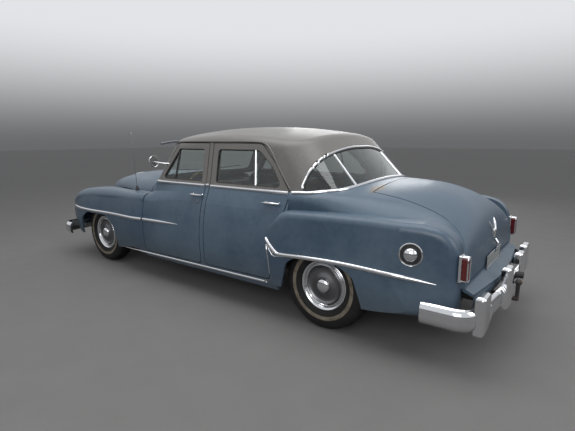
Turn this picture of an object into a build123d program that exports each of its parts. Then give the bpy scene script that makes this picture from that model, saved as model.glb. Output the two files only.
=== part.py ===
from build123d import *
import os
from functools import lru_cache
from math import atan2, cos, hypot, pi, radians, sin, sqrt, tan

# A large four-door sedan of the early 1950s, in millimetres.
# X points forward, Y to the car's left and Z up. Stations along X are measured from
# the middle of the wheelbase, and the finished car is moved so that its origin lies
# on the floor under the middle of its overall length.

# Overall sizes
WHEELBASE = 3188
FRONT_REACH = 2474
REAR_REACH = 2848
SHIFT = (REAR_REACH - FRONT_REACH) / 2
FRONT_AXLE = WHEELBASE / 2
REAR_AXLE = -WHEELBASE / 2

# Clearances
SHUT_GAP = 9
SEAL_GAP = 0.3
PIN_GAP = 0.3
RABBET = 16

# Sheet and panel thicknesses
SKIN = 12
PANEL = 18
DOOR_DEPTH = 60
ROOF_DEPTH = 44
JAMB = 16
GLASS = 6
GLASS_INSET = 14

# Wheels
TYRE_R = 360
TYRE_HALF = 98
TREAD_HALF = 68
RIM_R = 190
FRONT_TRACK = 1427
REAR_TRACK = 1511
SPINDLE_R = 22
KINGPIN_Y = 640
STEER_LOCK = 30

# Heights of the body
BELT_Z = 1050
DRIP_Z = 1448
ROOF_TOP = 1607
ROOF_CREST_X = -430
ROOF_LONG_R = 6000
ROOF_CROSS_R = 2700
ROOF_EDGE_R = 110
FRAME_IN_Y = 660
POST_TOP_Z = 895

# Body panels as tables of stations
# Body side: station x, then a point over the belt, belt point, valley, shoulder and sill
# as (y, z, bulge)
BODY_SIDE = [
    (-1262, [(787, 1080, 1), (800, 1050, 1), (832, 978, 1), (862, 900, 38), (880, 250, 0)]),
    (100, [(787, 1080, 1), (800, 1050, 1), (832, 978, 1), (862, 900, 38), (880, 250, 0)]),
    (500, [(782, 1080, 1), (788, 1050, -1), (808, 955, 8), (878, 850, 36), (880, 250, 0)]),
    (640, [(677, 1056, 1), (706, 1050, -4), (757, 925, 36), (885, 825, 32), (880, 250, 0)]),
]
# Front fender: station x, then hood edge, crest, shoulder and lower edge
FRONT_FENDER = [
    (640.3, [(757, 925, 2), (828, 915, 20), (885, 825, 32), (880, 262, 0)]),
    (1150, [(668, 906, 6), (800, 914, 22), (876, 832, 32), (880, 262, 0)]),
    (1600, [(549, 893, 8), (778, 908, 26), (872, 815, 32), (880, 280, 0)]),
    (2020, [(410, 842, 10), (740, 868, 34), (851, 760, 28), (853, 310, 0)]),
    (2230, [(304, 778, 10), (702, 810, 40), (804, 690, 20), (794, 345, 0)]),
    (2333, [(262, 742, 8), (672, 757, 40), (766, 655, 14), (760, 420, 0)]),
]
# Hood: station x, top height, half width at the edge, corner radius
HOOD = [
    (700, 1108, 730, 180),
    (1200, 1098, 640, 180),
    (1700, 1056, 500, 170),
    (2050, 968, 376, 145),
    (2262, 862, 272, 105),
]
CROWN_ANGLE = radians(14)
EDGE_ANGLE = radians(75)
# Rear body: station x, then centre line, deck edge, shoulder and lower edge as (y, z)
REAR_BODY = [
    (-1262, [(0, 1150), (772, 1086), (838, 990), (896, 560)]),
    (-1560, [(0, 1150), (752, 1080), (832, 968), (889, 560)]),
    (-1870, [(0, 1146), (655, 1071), (808, 950), (880, 560)]),
    (-2035, [(0, 1139), (630, 1050), (801, 917), (871, 560)]),
    (-2200, [(0, 1122), (600, 1020), (792, 880), (860, 560)]),
    (-2420, [(0, 1052), (590, 952), (780, 810), (835, 560)]),
    (-2550, [(0, 950), (640, 860), (772, 740), (806, 560)]),
    (-2622, [(0, 770), (690, 700), (766, 640), (780, 560)]),
]

# Outlines in side view as (x, z, radius)
FRONT_DOOR = [
    (-258, 322, 30), (-258, DRIP_Z, 12), (182, DRIP_Z, 40), (462, 1072, 40),
    (532, 1038, 40), (628, 905, 90), (614, 308, 40),
]
REAR_DOOR = [
    (-322, 324, 30), (-1112, 336, 30), (-1080, 740, 120), (-1224, 900, 120), (-1252, 1050, 30),
    (-1085, 1272, 130), (-905, DRIP_Z, 130), (-322, DRIP_Z, 12),
]
FRONT_WINDOW = [
    (-202, 1090, 18), (-202, 1396, 30), (168, 1396, 35), (396, 1090, 25),
]
REAR_WINDOW = [
    (-384, 1090, 18), (-1172, 1090, 35), (-1042, 1262, 110), (-880, 1396, 110), (-384, 1396, 30),
]
BACKLIGHT = [
    (-1340, 1078, 30), (-1382, 1225, 200), (-1450, 1412, 0), (-2100, 1412, 0),
    (-2100, 1160, 0), (-1740, 1152, 0), (-1640, 1098, 0), (-1560, 1078, 0),
]
WINDSHIELD = [
    (-675, 1096, 50), (675, 1096, 50), (600, 1418, 60), (-600, 1418, 60),
]
FRONT_OPENING = [
    (1180, 150, 0), (1180, 330, 0), (1236, 525, 120), (1400, 612, 120), (1800, 612, 120),
    (1952, 525, 120), (2005, 330, 0), (2005, 150, 0),
]
REAR_OPENING = [
    (-1236, 150, 0), (-1243, 300, 0), (-1310, 530, 110), (-1420, 582, 100), (-1780, 582, 100),
    (-1900, 530, 110), (-1968, 302, 0), (-1972, 150, 0),
]
REAR_FENDER = [
    (-1112, 300, 0), (-1083, 700, 200), (-1150, 925, 250), (-1560, 945, 0), (-2000, 957, 0),
    (-2360, 948, 0), (-2596, 905, 190), (-2598, 340, 60), (-1990, 292, 0),
]

# Trunk lid outline seen from behind, and the station of its front edge
TRUNK_LID = [
    (-565, 1300, 0), (-565, 985, 160), (-730, 735, 160), (-734, 566, 60), (734, 566, 60),
    (730, 735, 160), (565, 985, 160), (565, 1300, 0),
]
LID_FRONT = -1872

# Greenhouse outlines: height, half width, front x, front arc radius, front corner radius,
# rear x, rear arc radius, rear corner radius
GREENHOUSE = [
    (1000, 809, 690, 2600, 130, -1885, 1420, 378),
    (1660, 685, 226, 2600, 130, -1225, 2000, 254),
]

# Rear fender, tail pan and wheelhouses
REAR_FENDER_Y = 950
REAR_FENDER_IN_Y = 735
REAR_FENDER_EDGE_R = 60
WHEELHOUSE_R = 420
REAR_BODY_LOW = 545
VALANCE_X = -2728
VALANCE_Z = 474
VALANCE_HALF = 764

# Chassis and floor
ARM_IN_Y = 430
RAIL_Y = 370
RAIL_W = 58
RAIL_LOW = 268
CROSS_LOW = 276
GEARBOX_LOW = 300
FLOOR_Z = 390
FLOOR_T = 10
REAR_FLOOR_Z = 522
HEEL_X = -940
SHELF_Z = 1050

# Bumper outlines in plan, from the left end round to the right end, as (x, y, radius)
FRONT_BUMPER = [
    (2170, 945, 0), (2385, 945, 150), (2512, 0, 4500), (2385, -945, 150), (2170, -945, 0),
]
REAR_BUMPER = [
    (-2396, 951, 0), (-2735, 951, 150), (-2812, 0, 4500), (-2735, -951, 150), (-2396, -951, 0),
]
BUMPER_DEPTH = 30
BUMPER_WALL = 10
BUMPER_EDGE_R = 60
GUARD_PROUD = 30
GUARD_DEPTH = 34
GUARD_EDGE_R = 24
NOSE = [
    (2262, 545, 0), (2357, 545, 10), (2425, 0, 2500), (2357, -545, 10), (2262, -545, 0),
]

# Cabin
WHEEL_Y = 370
STEER_HUB = (225, WHEEL_Y, 915)
STEER_TILT = radians(33)
STEER_R = 215
COLUMN_R = 22
SEAT_HALF = 640

# Lamps, visor and tow ball
CAP_INNER_Y = 545
CAP_DEPTH = 12
LAMP_Y, LAMP_Z, LAMP_R = 662, 640, 92
# Tail lamp: y and z range of its bezel, its seat on the fender, bezel and lens depths
TAIL_LAMP = (790, 862, 600, 776)
TAIL_X, TAIL_BEZEL, TAIL_LENS = -2597.3, 16, 42
VISOR_TILT = 7
TOW_BALL = (-2823, 0, 409)


def both_sides(shape):
    """Mirror a shape of the car's left side to its right side, and keep both."""
    return shape + mirror(shape, Plane.XZ)


def corner_wire(points, place):
    """Closed wire through (u, v, radius) corners; place turns (u, v) into a 3-D point."""
    edges = []
    ends = []
    count = len(points)
    for i in range(count):
        u, v, r = points[i]
        pu, pv, _ = points[i - 1]
        nu, nv, _ = points[(i + 1) % count]
        a = Vector(pu - u, pv - v).normalized()
        b = Vector(nu - u, nv - v).normalized()
        here = Vector(u, v)
        if r == 0:
            ends.append((here, None, here))
            continue
        half = radians(a.get_angle(b)) / 2
        reach = r / tan(half)
        centre = here + (a + b).normalized() * (r / sin(half))
        middle = centre + (here - centre).normalized() * r
        ends.append((here + a * reach, middle, here + b * reach))
    for i in range(count):
        start, middle, end = ends[i]
        if middle is not None:
            edges.append(Edge.make_three_point_arc(*[place(p.X, p.Y) for p in (start, middle, end)]))
        following = ends[(i + 1) % count][0]
        if (following - end).length > 0.001:
            edges.append(Edge.make_line(place(end.X, end.Y), place(following.X, following.Y)))
    return Wire(edges)


def slab_x(points, x0, x1):
    """Prism of a (y, z, radius) outline from x0 to x1."""
    face = Face(corner_wire(points, lambda u, v: Vector(x0, u, v)))
    return extrude(face, amount=x1 - x0, dir=(1, 0, 0))


def slab_y(points, y0, y1):
    """Prism of an (x, z, radius) outline from y0 to y1."""
    face = Face(corner_wire(points, lambda u, v: Vector(u, y0, v)))
    return extrude(face, amount=y1 - y0, dir=(0, 1, 0))


def slab_z(points, z0, z1):
    """Prism of an (x, y, radius) outline from z0 to z1."""
    face = Face(corner_wire(points, lambda u, v: Vector(u, v, z0)))
    return extrude(face, amount=z1 - z0, dir=(0, 0, 1))


def block(x0, x1, y0, y1, z0, z1):
    """Box between two corners."""
    return Pos((x0 + x1) / 2, (y0 + y1) / 2, (z0 + z1) / 2) * Box(x1 - x0, y1 - y0, z1 - z0)


def rod_x(x0, x1, y, z, r):
    """Round bar along X."""
    return Pos((x0 + x1) / 2, y, z) * Rot(0, 90, 0) * Cylinder(r, abs(x1 - x0))


def rod_y(x, y0, y1, z, r):
    """Round bar along Y."""
    return Pos(x, (y0 + y1) / 2, z) * Rot(90, 0, 0) * Cylinder(r, abs(y1 - y0))


def rod_z(x, y, z0, z1, r):
    """Upright round bar."""
    return Pos(x, y, (z0 + z1) / 2) * Cylinder(r, abs(z1 - z0))


def grown(points, d):
    """The same outline moved outwards by d, with its corner radii."""
    count = len(points)
    area = 0
    for i in range(count):
        x0, z0, _ = points[i]
        x1, z1, _ = points[(i + 1) % count]
        area += x0 * z1 - x1 * z0
    turn = 1 if area > 0 else -1
    moved = []
    for i in range(count):
        px, pz, _ = points[i - 1]
        x, z, r = points[i]
        nx, nz, _ = points[(i + 1) % count]
        la = hypot(x - px, z - pz)
        lb = hypot(nx - x, nz - z)
        ax, az = turn * (z - pz) / la, -turn * (x - px) / la
        bx, bz = turn * (nz - z) / lb, -turn * (nx - x) / lb
        k = d / (1 + ax * bx + az * bz)
        convex = turn * ((x - px) * (nz - z) - (z - pz) * (nx - x)) > 0
        radius = max(r + (d if convex else -d), 2) if r else 0
        moved.append((x + k * (ax + bx), z + k * (az + bz), radius))
    return moved


# Chains: a chain is a list of (y, z, bulge) points, where bulge is how far the arc to the
# next point stands out of its chord. Chains run from the top of the body down its side.

def chain_arcs(chain):
    """Start, middle and end of each arc of a chain."""
    arcs = []
    for (y0, z0, bulge), (y1, z1, _) in zip(chain, chain[1:]):
        length = hypot(y1 - y0, z1 - z0)
        ny, nz = -(z1 - z0) / length, (y1 - y0) / length
        arcs.append(((y0, z0), ((y0 + y1) / 2 + ny * bulge, (z0 + z1) / 2 + nz * bulge), (y1, z1)))
    return arcs


def arc_normal(arc, at):
    """Outward normal of an arc at one of its three points, 0 to 2."""
    (ay, az), (my, mz), (by, bz) = arc
    length = hypot(by - ay, bz - az)
    ty, tz = (by - ay) / length, (bz - az) / length
    bulge = (my - (ay + by) / 2) * -tz + (mz - (az + bz) / 2) * ty
    swing = (1 - at) * 2 * atan2(2 * bulge, length)
    cy, cz = -tz, ty
    return cy * cos(swing) - cz * sin(swing), cy * sin(swing) + cz * cos(swing)


def inset_arcs(arcs, depth):
    """The arcs of a chain moved inwards by depth."""
    joints = []
    for i in range(len(arcs) + 1):
        sides = []
        if i > 0:
            sides.append(arc_normal(arcs[i - 1], 2))
        if i < len(arcs):
            sides.append(arc_normal(arcs[i], 0))
        ny = sum(s[0] for s in sides)
        nz = sum(s[1] for s in sides)
        size = hypot(ny, nz)
        y, z = arcs[i][0] if i < len(arcs) else arcs[-1][2]
        joints.append((y - depth * ny / size, z - depth * nz / size))
    inner = []
    for i, arc in enumerate(arcs):
        ny, nz = arc_normal(arc, 1)
        inner.append((joints[i], (arc[1][0] - depth * ny, arc[1][1] - depth * nz), joints[i + 1]))
    return inner


def strip_wire(x, chain, near, far):
    """Closed section at x between two depths below a chain."""
    outer = inset_arcs(chain_arcs(chain), near)
    inner = inset_arcs(chain_arcs(chain), far)
    edges = [Edge.make_three_point_arc(*[Vector(x, *p) for p in arc]) for arc in outer]
    edges.append(Edge.make_line(Vector(x, *outer[-1][2]), Vector(x, *inner[-1][2])))
    for arc in reversed(inner):
        edges.append(Edge.make_three_point_arc(*[Vector(x, *p) for p in reversed(arc)]))
    edges.append(Edge.make_line(Vector(x, *inner[0][0]), Vector(x, *outer[0][0])))
    return Wire(edges)


def strip_loft(stations, near, far, ruled):
    """Panel between two depths below the surface through a table of (x, chain) stations."""
    return Solid.make_loft([strip_wire(x, chain, near, far) for x, chain in stations], ruled)


def rounded_end(tip, arc_r, corner_r, half, way):
    """Points of an end of a plan outline: arc end, corner middle and start of the side."""
    centre = tip - way * arc_r
    cy = half - corner_r
    cx = centre + way * sqrt((arc_r - corner_r) ** 2 - cy ** 2)
    ux, uy = (cx - centre) / (arc_r - corner_r), cy / (arc_r - corner_r)
    swing = (atan2(uy, way * ux) + pi / 2) / 2
    middle = (cx + way * corner_r * cos(swing), cy + corner_r * sin(swing))
    return (centre + arc_r * ux, arc_r * uy), middle, (cx, half)


def greenhouse_wire(row, inset):
    """One plan outline of the glasshouse, moved inwards by inset."""
    z, half, front, front_r, front_corner, rear, rear_r, rear_corner = row
    a, am, b = rounded_end(front - inset, front_r - inset, front_corner - inset, half - inset, 1)
    d, dm, c = rounded_end(rear + inset, rear_r - inset, rear_corner - inset, half - inset, -1)

    def at(p, side):
        return Vector(p[0], side * p[1], z)

    return Wire([
        Edge.make_three_point_arc(at(a, -1), Vector(front - inset, 0, z), at(a, 1)),
        Edge.make_three_point_arc(at(a, 1), at(am, 1), at(b, 1)),
        Edge.make_line(at(b, 1), at(c, 1)),
        Edge.make_three_point_arc(at(c, 1), at(dm, 1), at(d, 1)),
        Edge.make_three_point_arc(at(d, 1), Vector(rear + inset, 0, z), at(d, -1)),
        Edge.make_three_point_arc(at(d, -1), at(dm, -1), at(c, -1)),
        Edge.make_line(at(c, -1), at(b, -1)),
        Edge.make_three_point_arc(at(b, -1), at(am, -1), at(a, -1)),
    ])


def roof_crown(inset):
    """Solid under the crowned roof: a cross arc turned about a far axis across the car."""
    top = ROOF_TOP - inset
    half = 900
    drop = ROOF_CROSS_R - sqrt(ROOF_CROSS_R ** 2 - half ** 2)
    low = 700
    reach = 16
    arc = Edge.make_three_point_arc((0, -half, top - drop), (0, 0, top), (0, half, top - drop))
    sides = Wire.make_polygon([(0, half, top - drop), (0, half, low), (0, -half, low),
                               (0, -half, top - drop)], close=False)
    face = Pos(ROOF_CREST_X, 0, 0) * Face(Wire([arc] + list(sides.edges())))
    axis = Axis((ROOF_CREST_X, 0, ROOF_TOP - ROOF_LONG_R), (0, 1, 0))
    return revolve(face.rotate(axis, -reach), axis, 2 * reach)


@lru_cache(maxsize=None)
def greenhouse(inset):
    """Solid glasshouse with its crowned roof and rounded roof edge."""
    body = Solid.make_loft([greenhouse_wire(row, inset) for row in GREENHOUSE], True)
    body = body & roof_crown(inset)
    rim = [e for e in body.edges() if e.center().Z > 1300 and e.bounding_box().size.Z < 260]
    return fillet(rim, ROOF_EDGE_R - inset / 2)


def hood_chain(z_top, y_edge, corner_r):
    """Half section of the hood: a crown arc and a corner arc, tangent to each other."""
    span = sin(EDGE_ANGLE) - sin(CROWN_ANGLE)
    crown_r = (y_edge - corner_r * span) / sin(CROWN_ANGLE)
    y1 = crown_r * sin(CROWN_ANGLE)
    z1 = z_top - crown_r * (1 - cos(CROWN_ANGLE))
    z2 = z1 - corner_r * (cos(CROWN_ANGLE) - cos(EDGE_ANGLE))
    crown_bulge = crown_r * (1 - cos(CROWN_ANGLE / 2))
    corner_bulge = corner_r * (1 - cos((EDGE_ANGLE - CROWN_ANGLE) / 2))
    return [(0, z_top, crown_bulge), (y1, z1, corner_bulge), (y_edge, z2, 0)]


def body_side(near, far):
    """Left body side between two depths, up to the belt."""
    return strip_loft(BODY_SIDE, near, far, True) - block(-1300, 700, 500, 1100, BELT_Z, 1200)


def cut_y(outline, y0=600, y1=1100):
    """Cutter through the car's left side."""
    return slab_y(outline, y0, y1)


def roof_and_pillars():
    """Roof skin with windshield, centre and rear pillars down to the belt."""
    shell = greenhouse(0) - greenhouse(ROOF_DEPTH)
    shell = shell & block(-2200, 900, -1000, 1000, BELT_Z, 1700)
    shell -= slab_x(WINDSHIELD, 100, 900)
    under = BACKLIGHT[:4] + [(-2100, 900, 0), (-1560, 900, 0), (-1560, 1078, 0)]
    shell -= slab_y(under, -1000, 1000)
    for side in (1, -1):
        for outline in (FRONT_DOOR, REAR_DOOR):
            shell -= slab_y(grown(outline, SHUT_GAP), side * FRAME_IN_Y, side * 1100)
    return shell


def door(outline, window):
    """Left door: outer skin to the shut line, inner frame set back by the rabbet."""
    skin = cut_y(outline, FRAME_IN_Y + SHUT_GAP)
    core = cut_y(grown(outline, -RABBET), FRAME_IN_Y + SHUT_GAP)
    high = block(-2000, 2000, 500, 1100, BELT_Z, 1700)
    lower = (body_side(0, SKIN) & skin) + (body_side(SKIN, DOOR_DEPTH) & core)
    upper = ((greenhouse(0) - greenhouse(SKIN)) & skin & high)
    upper += (greenhouse(SKIN) - greenhouse(ROOF_DEPTH)) & core & high
    upper -= cut_y(window)
    return lower + upper


def door_glass(window):
    """Left side window, set into its frame."""
    pane = greenhouse(GLASS_INSET) - greenhouse(GLASS_INSET + GLASS)
    return pane & cut_y(grown(window, -SEAL_GAP))


def windshield_glass():
    """Curved windshield pane."""
    pane = greenhouse(GLASS_INSET) - greenhouse(GLASS_INSET + GLASS)
    return pane & slab_x(grown(WINDSHIELD, -SEAL_GAP), 100, 900)


def backlight_glass():
    """Wrap-round rear window pane."""
    pane = greenhouse(GLASS_INSET) - greenhouse(GLASS_INSET + GLASS)
    return pane & slab_y(grown(BACKLIGHT, -SEAL_GAP), -1000, 1000)


def cowl_and_sills():
    """Cowl top, hinge posts, centre posts, sills and the jambs that the doors shut against."""
    depth = DOOR_DEPTH + JAMB
    frame = body_side(0, depth)
    over = body_side(-SKIN, DOOR_DEPTH + SEAL_GAP)
    for outline in (FRONT_DOOR, REAR_DOOR):
        frame -= cut_y(grown(outline, -RABBET - 30))
        frame -= over & cut_y(grown(outline, SHUT_GAP))
    frame -= block(440, 700, 500, 1100, POST_TOP_Z, 1100)
    frame -= block(440, 622, 500, 1100, POST_TOP_Z - 65, 1100)
    frame -= rod_y(REAR_AXLE, 500, 1000, TYRE_R, WHEELHOUSE_R)
    rear = HOOD[0][1:]
    stations = [(500, hood_chain(1120, 800, 90)), (691, hood_chain(*rear))]
    cowl = strip_loft(stations, 0, PANEL, True)
    edge = hood_chain(*rear)
    cowl += strip_loft([(668, edge), (691, edge)], PANEL / 2, 32, True)
    cowl += strip_loft([(691, edge), (HOOD[0][0], edge)], PANEL + SEAL_GAP, 32, True)
    cowl += hood_strip(PANEL + SEAL_GAP, 32) & block(HOOD[0][0], HOOD[0][0] + 24, 0, 900, 900, 1200)
    cowl -= cut_y(grown(FRONT_DOOR, SHUT_GAP))
    cowl -= greenhouse(0)
    frame = frame.solids().sort_by(SortBy.VOLUME)[-1]
    return both_sides(frame), both_sides(cowl)


def hood_strip(near, far):
    """Left half of the hood between two depths."""
    stations = [(x, hood_chain(z, y, r)) for x, z, y, r in HOOD]
    return strip_loft(stations, near, far, False)


def hood():
    """Hood skin, hinged along its rear edge."""
    return both_sides(hood_strip(0, PANEL))


def steered_room(turn):
    """Room that the left front tyre takes when it is steered by turn degrees."""
    half = [(TYRE_HALF + 5, 0), (TYRE_HALF + 5, 270), (TYRE_HALF, 320), (TREAD_HALF + 5, 354),
            (38, TYRE_R + 4), (0, TYRE_R + 5)]
    room = turned(half + [(-y, r) for y, r in reversed(half[:-1])])
    pin = Pos(FRONT_AXLE, KINGPIN_Y, TYRE_R) * Rot(0, 0, turn)
    return pin * Pos(0, FRONT_TRACK / 2 - KINGPIN_Y, 0) * room


def front_fender():
    """Left front fender skin with its wheel opening and headlamp cap."""
    skin = strip_loft(FRONT_FENDER, 0, PANEL, False)
    skin -= cut_y(FRONT_OPENING, 300, 1100)
    skin -= steered_room(STEER_LOCK)
    skin -= steered_room(-STEER_LOCK)
    x, chain = FRONT_FENDER[-1]
    arcs = chain_arcs(chain)[1:]
    edges = [Edge.make_three_point_arc(*[Vector(x, *p) for p in arc]) for arc in arcs]
    first, last = arcs[0][0], arcs[-1][2]
    corners = [(x, *last), (x, CAP_INNER_Y, last[1]), (x, CAP_INNER_Y, first[1]), (x, *first)]
    face = Face(Wire(edges + list(Wire.make_polygon(corners, close=False).edges())))
    return skin + extrude(face, amount=CAP_DEPTH, dir=(1, 0, 0))


def pontoon(inset):
    """Solid rear fender form moved inwards by inset."""
    y = REAR_FENDER_Y - inset
    inner = REAR_FENDER_IN_Y + inset
    body = slab_y(grown(REAR_FENDER, -inset), inner, y)
    barrel = [(300, 200, 0), (905 - inset, 200, 0), (y, 600, 0), (930 - inset, 1000, 0), (300, 1000, 0)]
    plan = [(-1000, 700, 0), (-1000, y + 1, 0), (-2150, y + 1, 900), (-2620, y - 84, 0), (-2620, 700, 0)]
    body = body & slab_x(barrel, -2700, -1000) & slab_z(plan, 100, 1100)
    rim = [e for e in body.edges() if e.center().Y > 860 - inset and e.center().Z > 420
           and e.bounding_box().size.X + e.bounding_box().size.Z > 40
           and on_outline(e, inset)]
    return fillet(rim, REAR_FENDER_EDGE_R - inset)


def on_outline(edge, inset):
    """True for an edge of the pontoon that lies on its side-view outline."""
    box = edge.bounding_box()
    middle = edge.position_at(0.5)
    low = grown(REAR_FENDER, -inset)
    for (x0, z0, _), (x1, z1, _) in zip(low, low[1:] + low[:1]):
        length = hypot(x1 - x0, z1 - z0)
        off = ((middle.X - x0) * (z1 - z0) - (middle.Z - z0) * (x1 - x0)) / length
        if abs(off) < 0.5 and box.size.X + box.size.Z > 5:
            return True
    return box.size.Y < 30 and box.size.X > 30 and box.size.Z > 30


@lru_cache(maxsize=None)
def rear_fender():
    """Left rear fender: a rounded pontoon outside the body side, with its wheel opening."""
    shell = pontoon(0) - pontoon(PANEL)
    shell -= cut_y(REAR_OPENING, 500, 1100)
    shell -= strip_loft(BODY_SIDE[:2], 0, 240, True)
    shell -= rear_solid(0, REAR_BODY[0][0], REAR_BODY[-1][0], REAR_BODY_LOW)
    shell -= rod_y(REAR_AXLE, 600, 900, TYRE_R, WHEELHOUSE_R)
    return shell - cut_y(grown(REAR_DOOR, SHUT_GAP))


def rear_solid(depth, front, rear, low):
    """Left half of the rear body below a depth, between two stations and above low."""
    wires = []
    for i, (x, points) in enumerate(REAR_BODY):
        place = front if i == 0 else rear if i == len(REAR_BODY) - 1 else x
        arcs = inset_arcs(chain_arcs(level_chain(points)), depth)
        edges = [Edge.make_three_point_arc(*[Vector(place, *p) for p in arc]) for arc in arcs]
        top, last = arcs[0][0], arcs[-1][2]
        corners = [(place, *last), (place, last[0], low), (place, 0, low), (place, *top)]
        wires.append(Wire(edges + list(Wire.make_polygon(corners, close=False).edges())))
    return Solid.make_loft(wires[:3], True) + Solid.make_loft(wires[2:], False)


def level_chain(points):
    """Chain through (y, z) points that starts level and has tangent arcs."""
    chain = []
    slope = 0
    for (y0, z0), (y1, z1) in zip(points, points[1:]):
        chord = atan2(z0 - z1, y1 - y0)
        half = chord - slope
        chain.append((y0, z0, hypot(y1 - y0, z1 - z0) / 2 * tan(half / 2)))
        slope = chord + half
    chain.append((*points[-1], 0))
    return chain


def lid_cutter(grow):
    """Cutter of the trunk lid's outline, moved outwards by grow."""
    return slab_x(grown(TRUNK_LID, grow), -2700, LID_FRONT + grow)


@lru_cache(maxsize=None)
def rear_shell():
    """Deck, tail and quarter panels as one skin, both sides."""
    outer = rear_solid(0, REAR_BODY[0][0], REAR_BODY[-1][0], REAR_BODY_LOW)
    inner = rear_solid(PANEL, REAR_BODY[0][0] + 30, REAR_BODY[-1][0] + PANEL, REAR_BODY_LOW - 60)
    return both_sides(outer - inner)


def valance():
    """Painted pan that closes the gap between the tail and the rear bumper."""
    x, edge = REAR_BODY[-1][0], VALANCE_X
    profile = [(x + PANEL, REAR_BODY_LOW, 0), (x + PANEL, REAR_BODY_LOW - 26, 14), (edge, VALANCE_Z, 0),
               (edge, VALANCE_Z + 12, 0), (x, REAR_BODY_LOW - 8, 14), (x, REAR_BODY_LOW + 3, 0),
               (x + PANEL, REAR_BODY_LOW + 3, 0)]
    plan = grown(REAR_BUMPER, -BUMPER_DEPTH - 45)
    return slab_y(profile, -VALANCE_HALF, VALANCE_HALF) & slab_z(plan, 400, 600)


def rear_body():
    """Rear deck frame and quarter panels round the trunk opening, with the tail pan."""
    shell = rear_shell() - lid_cutter(SHUT_GAP) + valance()
    shell -= greenhouse(0)
    for side in (1, -1):
        shell -= slab_y(grown(REAR_DOOR, SHUT_GAP), side * 500, side * 1100)
        shell -= rod_y(REAR_AXLE, side * 500, side * 1000, TYRE_R, WHEELHOUSE_R)
    return shell


def trunk_lid():
    """Trunk lid skin."""
    return rear_shell() & lid_cutter(0)


def bar(p, q, r):
    """Round bar between two points."""
    a, b = Vector(*p), Vector(*q)
    return Plane(origin=(a + b) / 2, z_dir=b - a) * Cylinder(r, (b - a).length)


def rounded_box(x0, x1, y0, y1, z0, z1, r):
    """Box with all its edges rounded."""
    shape = block(x0, x1, y0, y1, z0, z1)
    return fillet(shape.edges(), r)


def turned(points, closed=True):
    """Ring turned about the Y axis from a (y, r) profile."""
    wire = Wire.make_polygon([(r, y, 0) for y, r in points], close=closed)
    return revolve(Face(wire), Axis.Y, 360)


# Tyre and wheel profiles as (y, radius), outer side at +y
def tyre():
    """Tyre with rounded shoulders, seated on the rim."""
    bead = 59.7
    tip = [(bead, RIM_R), (bead, 204), (78, 206), (91, 232), (TYRE_HALF, 268), (92, 318),
           (TREAD_HALF, 350), (36, 358), (0, TYRE_R)]
    outline = tip + [(-y, r) for y, r in reversed(tip[:-1])]
    return turned(outline)


def rim_and_cap():
    """Steel wheel with rim flanges, dished disc, hub and domed cap."""
    bore = SPINDLE_R + PIN_GAP
    seat = RIM_R - 0.3
    profile = [
        (-60, seat), (60, seat), (60, 203), (68, 203), (72, 197), (66, 180), (44, 172), (30, 160),
        (20, 128), (30, 118), (52, 96), (62, 70), (66, 40), (68, 0), (30, 0), (30, bore),
        (-50, bore), (-50, 48), (-4, 48), (2, 128), (14, 160), (-44, 172), (-66, 180), (-72, 197),
        (-68, 203), (-60, 203),
    ]
    return turned(profile)


def wheel_at(x, y, side):
    """Tyre and wheel of one corner, outer side away from the car's middle."""
    where = Pos(x, side * y, TYRE_R)
    turn = Rot(0, 0, 0) if side > 0 else Rot(0, 0, 180)
    return where * turn * tyre(), where * turn * rim_and_cap()


def knuckle(side):
    """Steering knuckle with kingpin, spindle and brake backing plate."""
    x, z = FRONT_AXLE, TYRE_R
    y = KINGPIN_Y
    hub = FRONT_TRACK / 2
    body = rod_z(x, y, z - 105, z + 105, 16) + block(x - 24, x + 24, y - 18, y + 12, z - 50, z + 50)
    body += rod_y(x, y + 4, y + 14, z, 98) + rod_y(x, y, hub + 26, z, SPINDLE_R)
    return body if side > 0 else mirror(body, Plane.XZ)


def control_arms():
    """Upper and lower arms with coil springs, on both sides of the front frame."""
    x, z, y = FRONT_AXLE, TYRE_R, KINGPIN_Y
    low, high = z - 105 - PIN_GAP - 22, z + 105 + PIN_GAP
    shape = None
    for z0, reach in ((low, 150), (high, 110)):
        arm = slab_z([(x - reach, ARM_IN_Y, 0), (x - 26, y + 20, 20), (x + 26, y + 20, 20),
                      (x + reach, ARM_IN_Y, 0)], z0, z0 + 22)
        arm -= slab_z([(x - reach + 50, ARM_IN_Y + 25, 10), (x, y - 60, 10),
                       (x + reach - 50, ARM_IN_Y + 25, 10)], z0 - 1, z0 + 23)
        shape = arm if shape is None else shape + arm
    return both_sides(shape)


def chassis_frame():
    """Ladder frame with kick-ups, cross members and bumper arms."""
    side = [
        (2256, 330, 0), (2256, 430, 0), (1900, 440, 80), (1000, FLOOR_Z, 80),
        (-1000, FLOOR_Z, 80), (-1300, REAR_FLOOR_Z, 90), (-1900, REAR_FLOOR_Z, 90),
        (-2150, 410, 80),
        (-2520, 410, 0), (-2520, 320, 0), (-2150, 320, 80), (-1880, 430, 90), (-1330, 430, 90),
        (-1040, RAIL_LOW, 80), (1020, RAIL_LOW, 80), (1900, 330, 80),
    ]
    frame = both_sides(slab_y(side, RAIL_Y, RAIL_Y + RAIL_W))
    for x, z0, z1 in ((1594, 300, 380), (600, CROSS_LOW, GEARBOX_LOW), (0, 285, 345), (-1160, 430, 480),
                      (-2440, 330, 390), (2180, 345, 405)):
        frame += block(x - 40, x + 40, -RAIL_Y, RAIL_Y, z0, z1)
    tower = block(FRONT_AXLE - 165, FRONT_AXLE + 165, RAIL_Y + 28, ARM_IN_Y, 228, 492)
    frame += both_sides(tower)
    frame += both_sides(block(2240, 2450, RAIL_Y + 8, RAIL_Y + 48, 345, 385))
    frame += both_sides(block(-2776, -2510, RAIL_Y + 8, RAIL_Y + 48, 345, 385))
    return frame - front_bumper() - rear_bumper()


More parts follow.
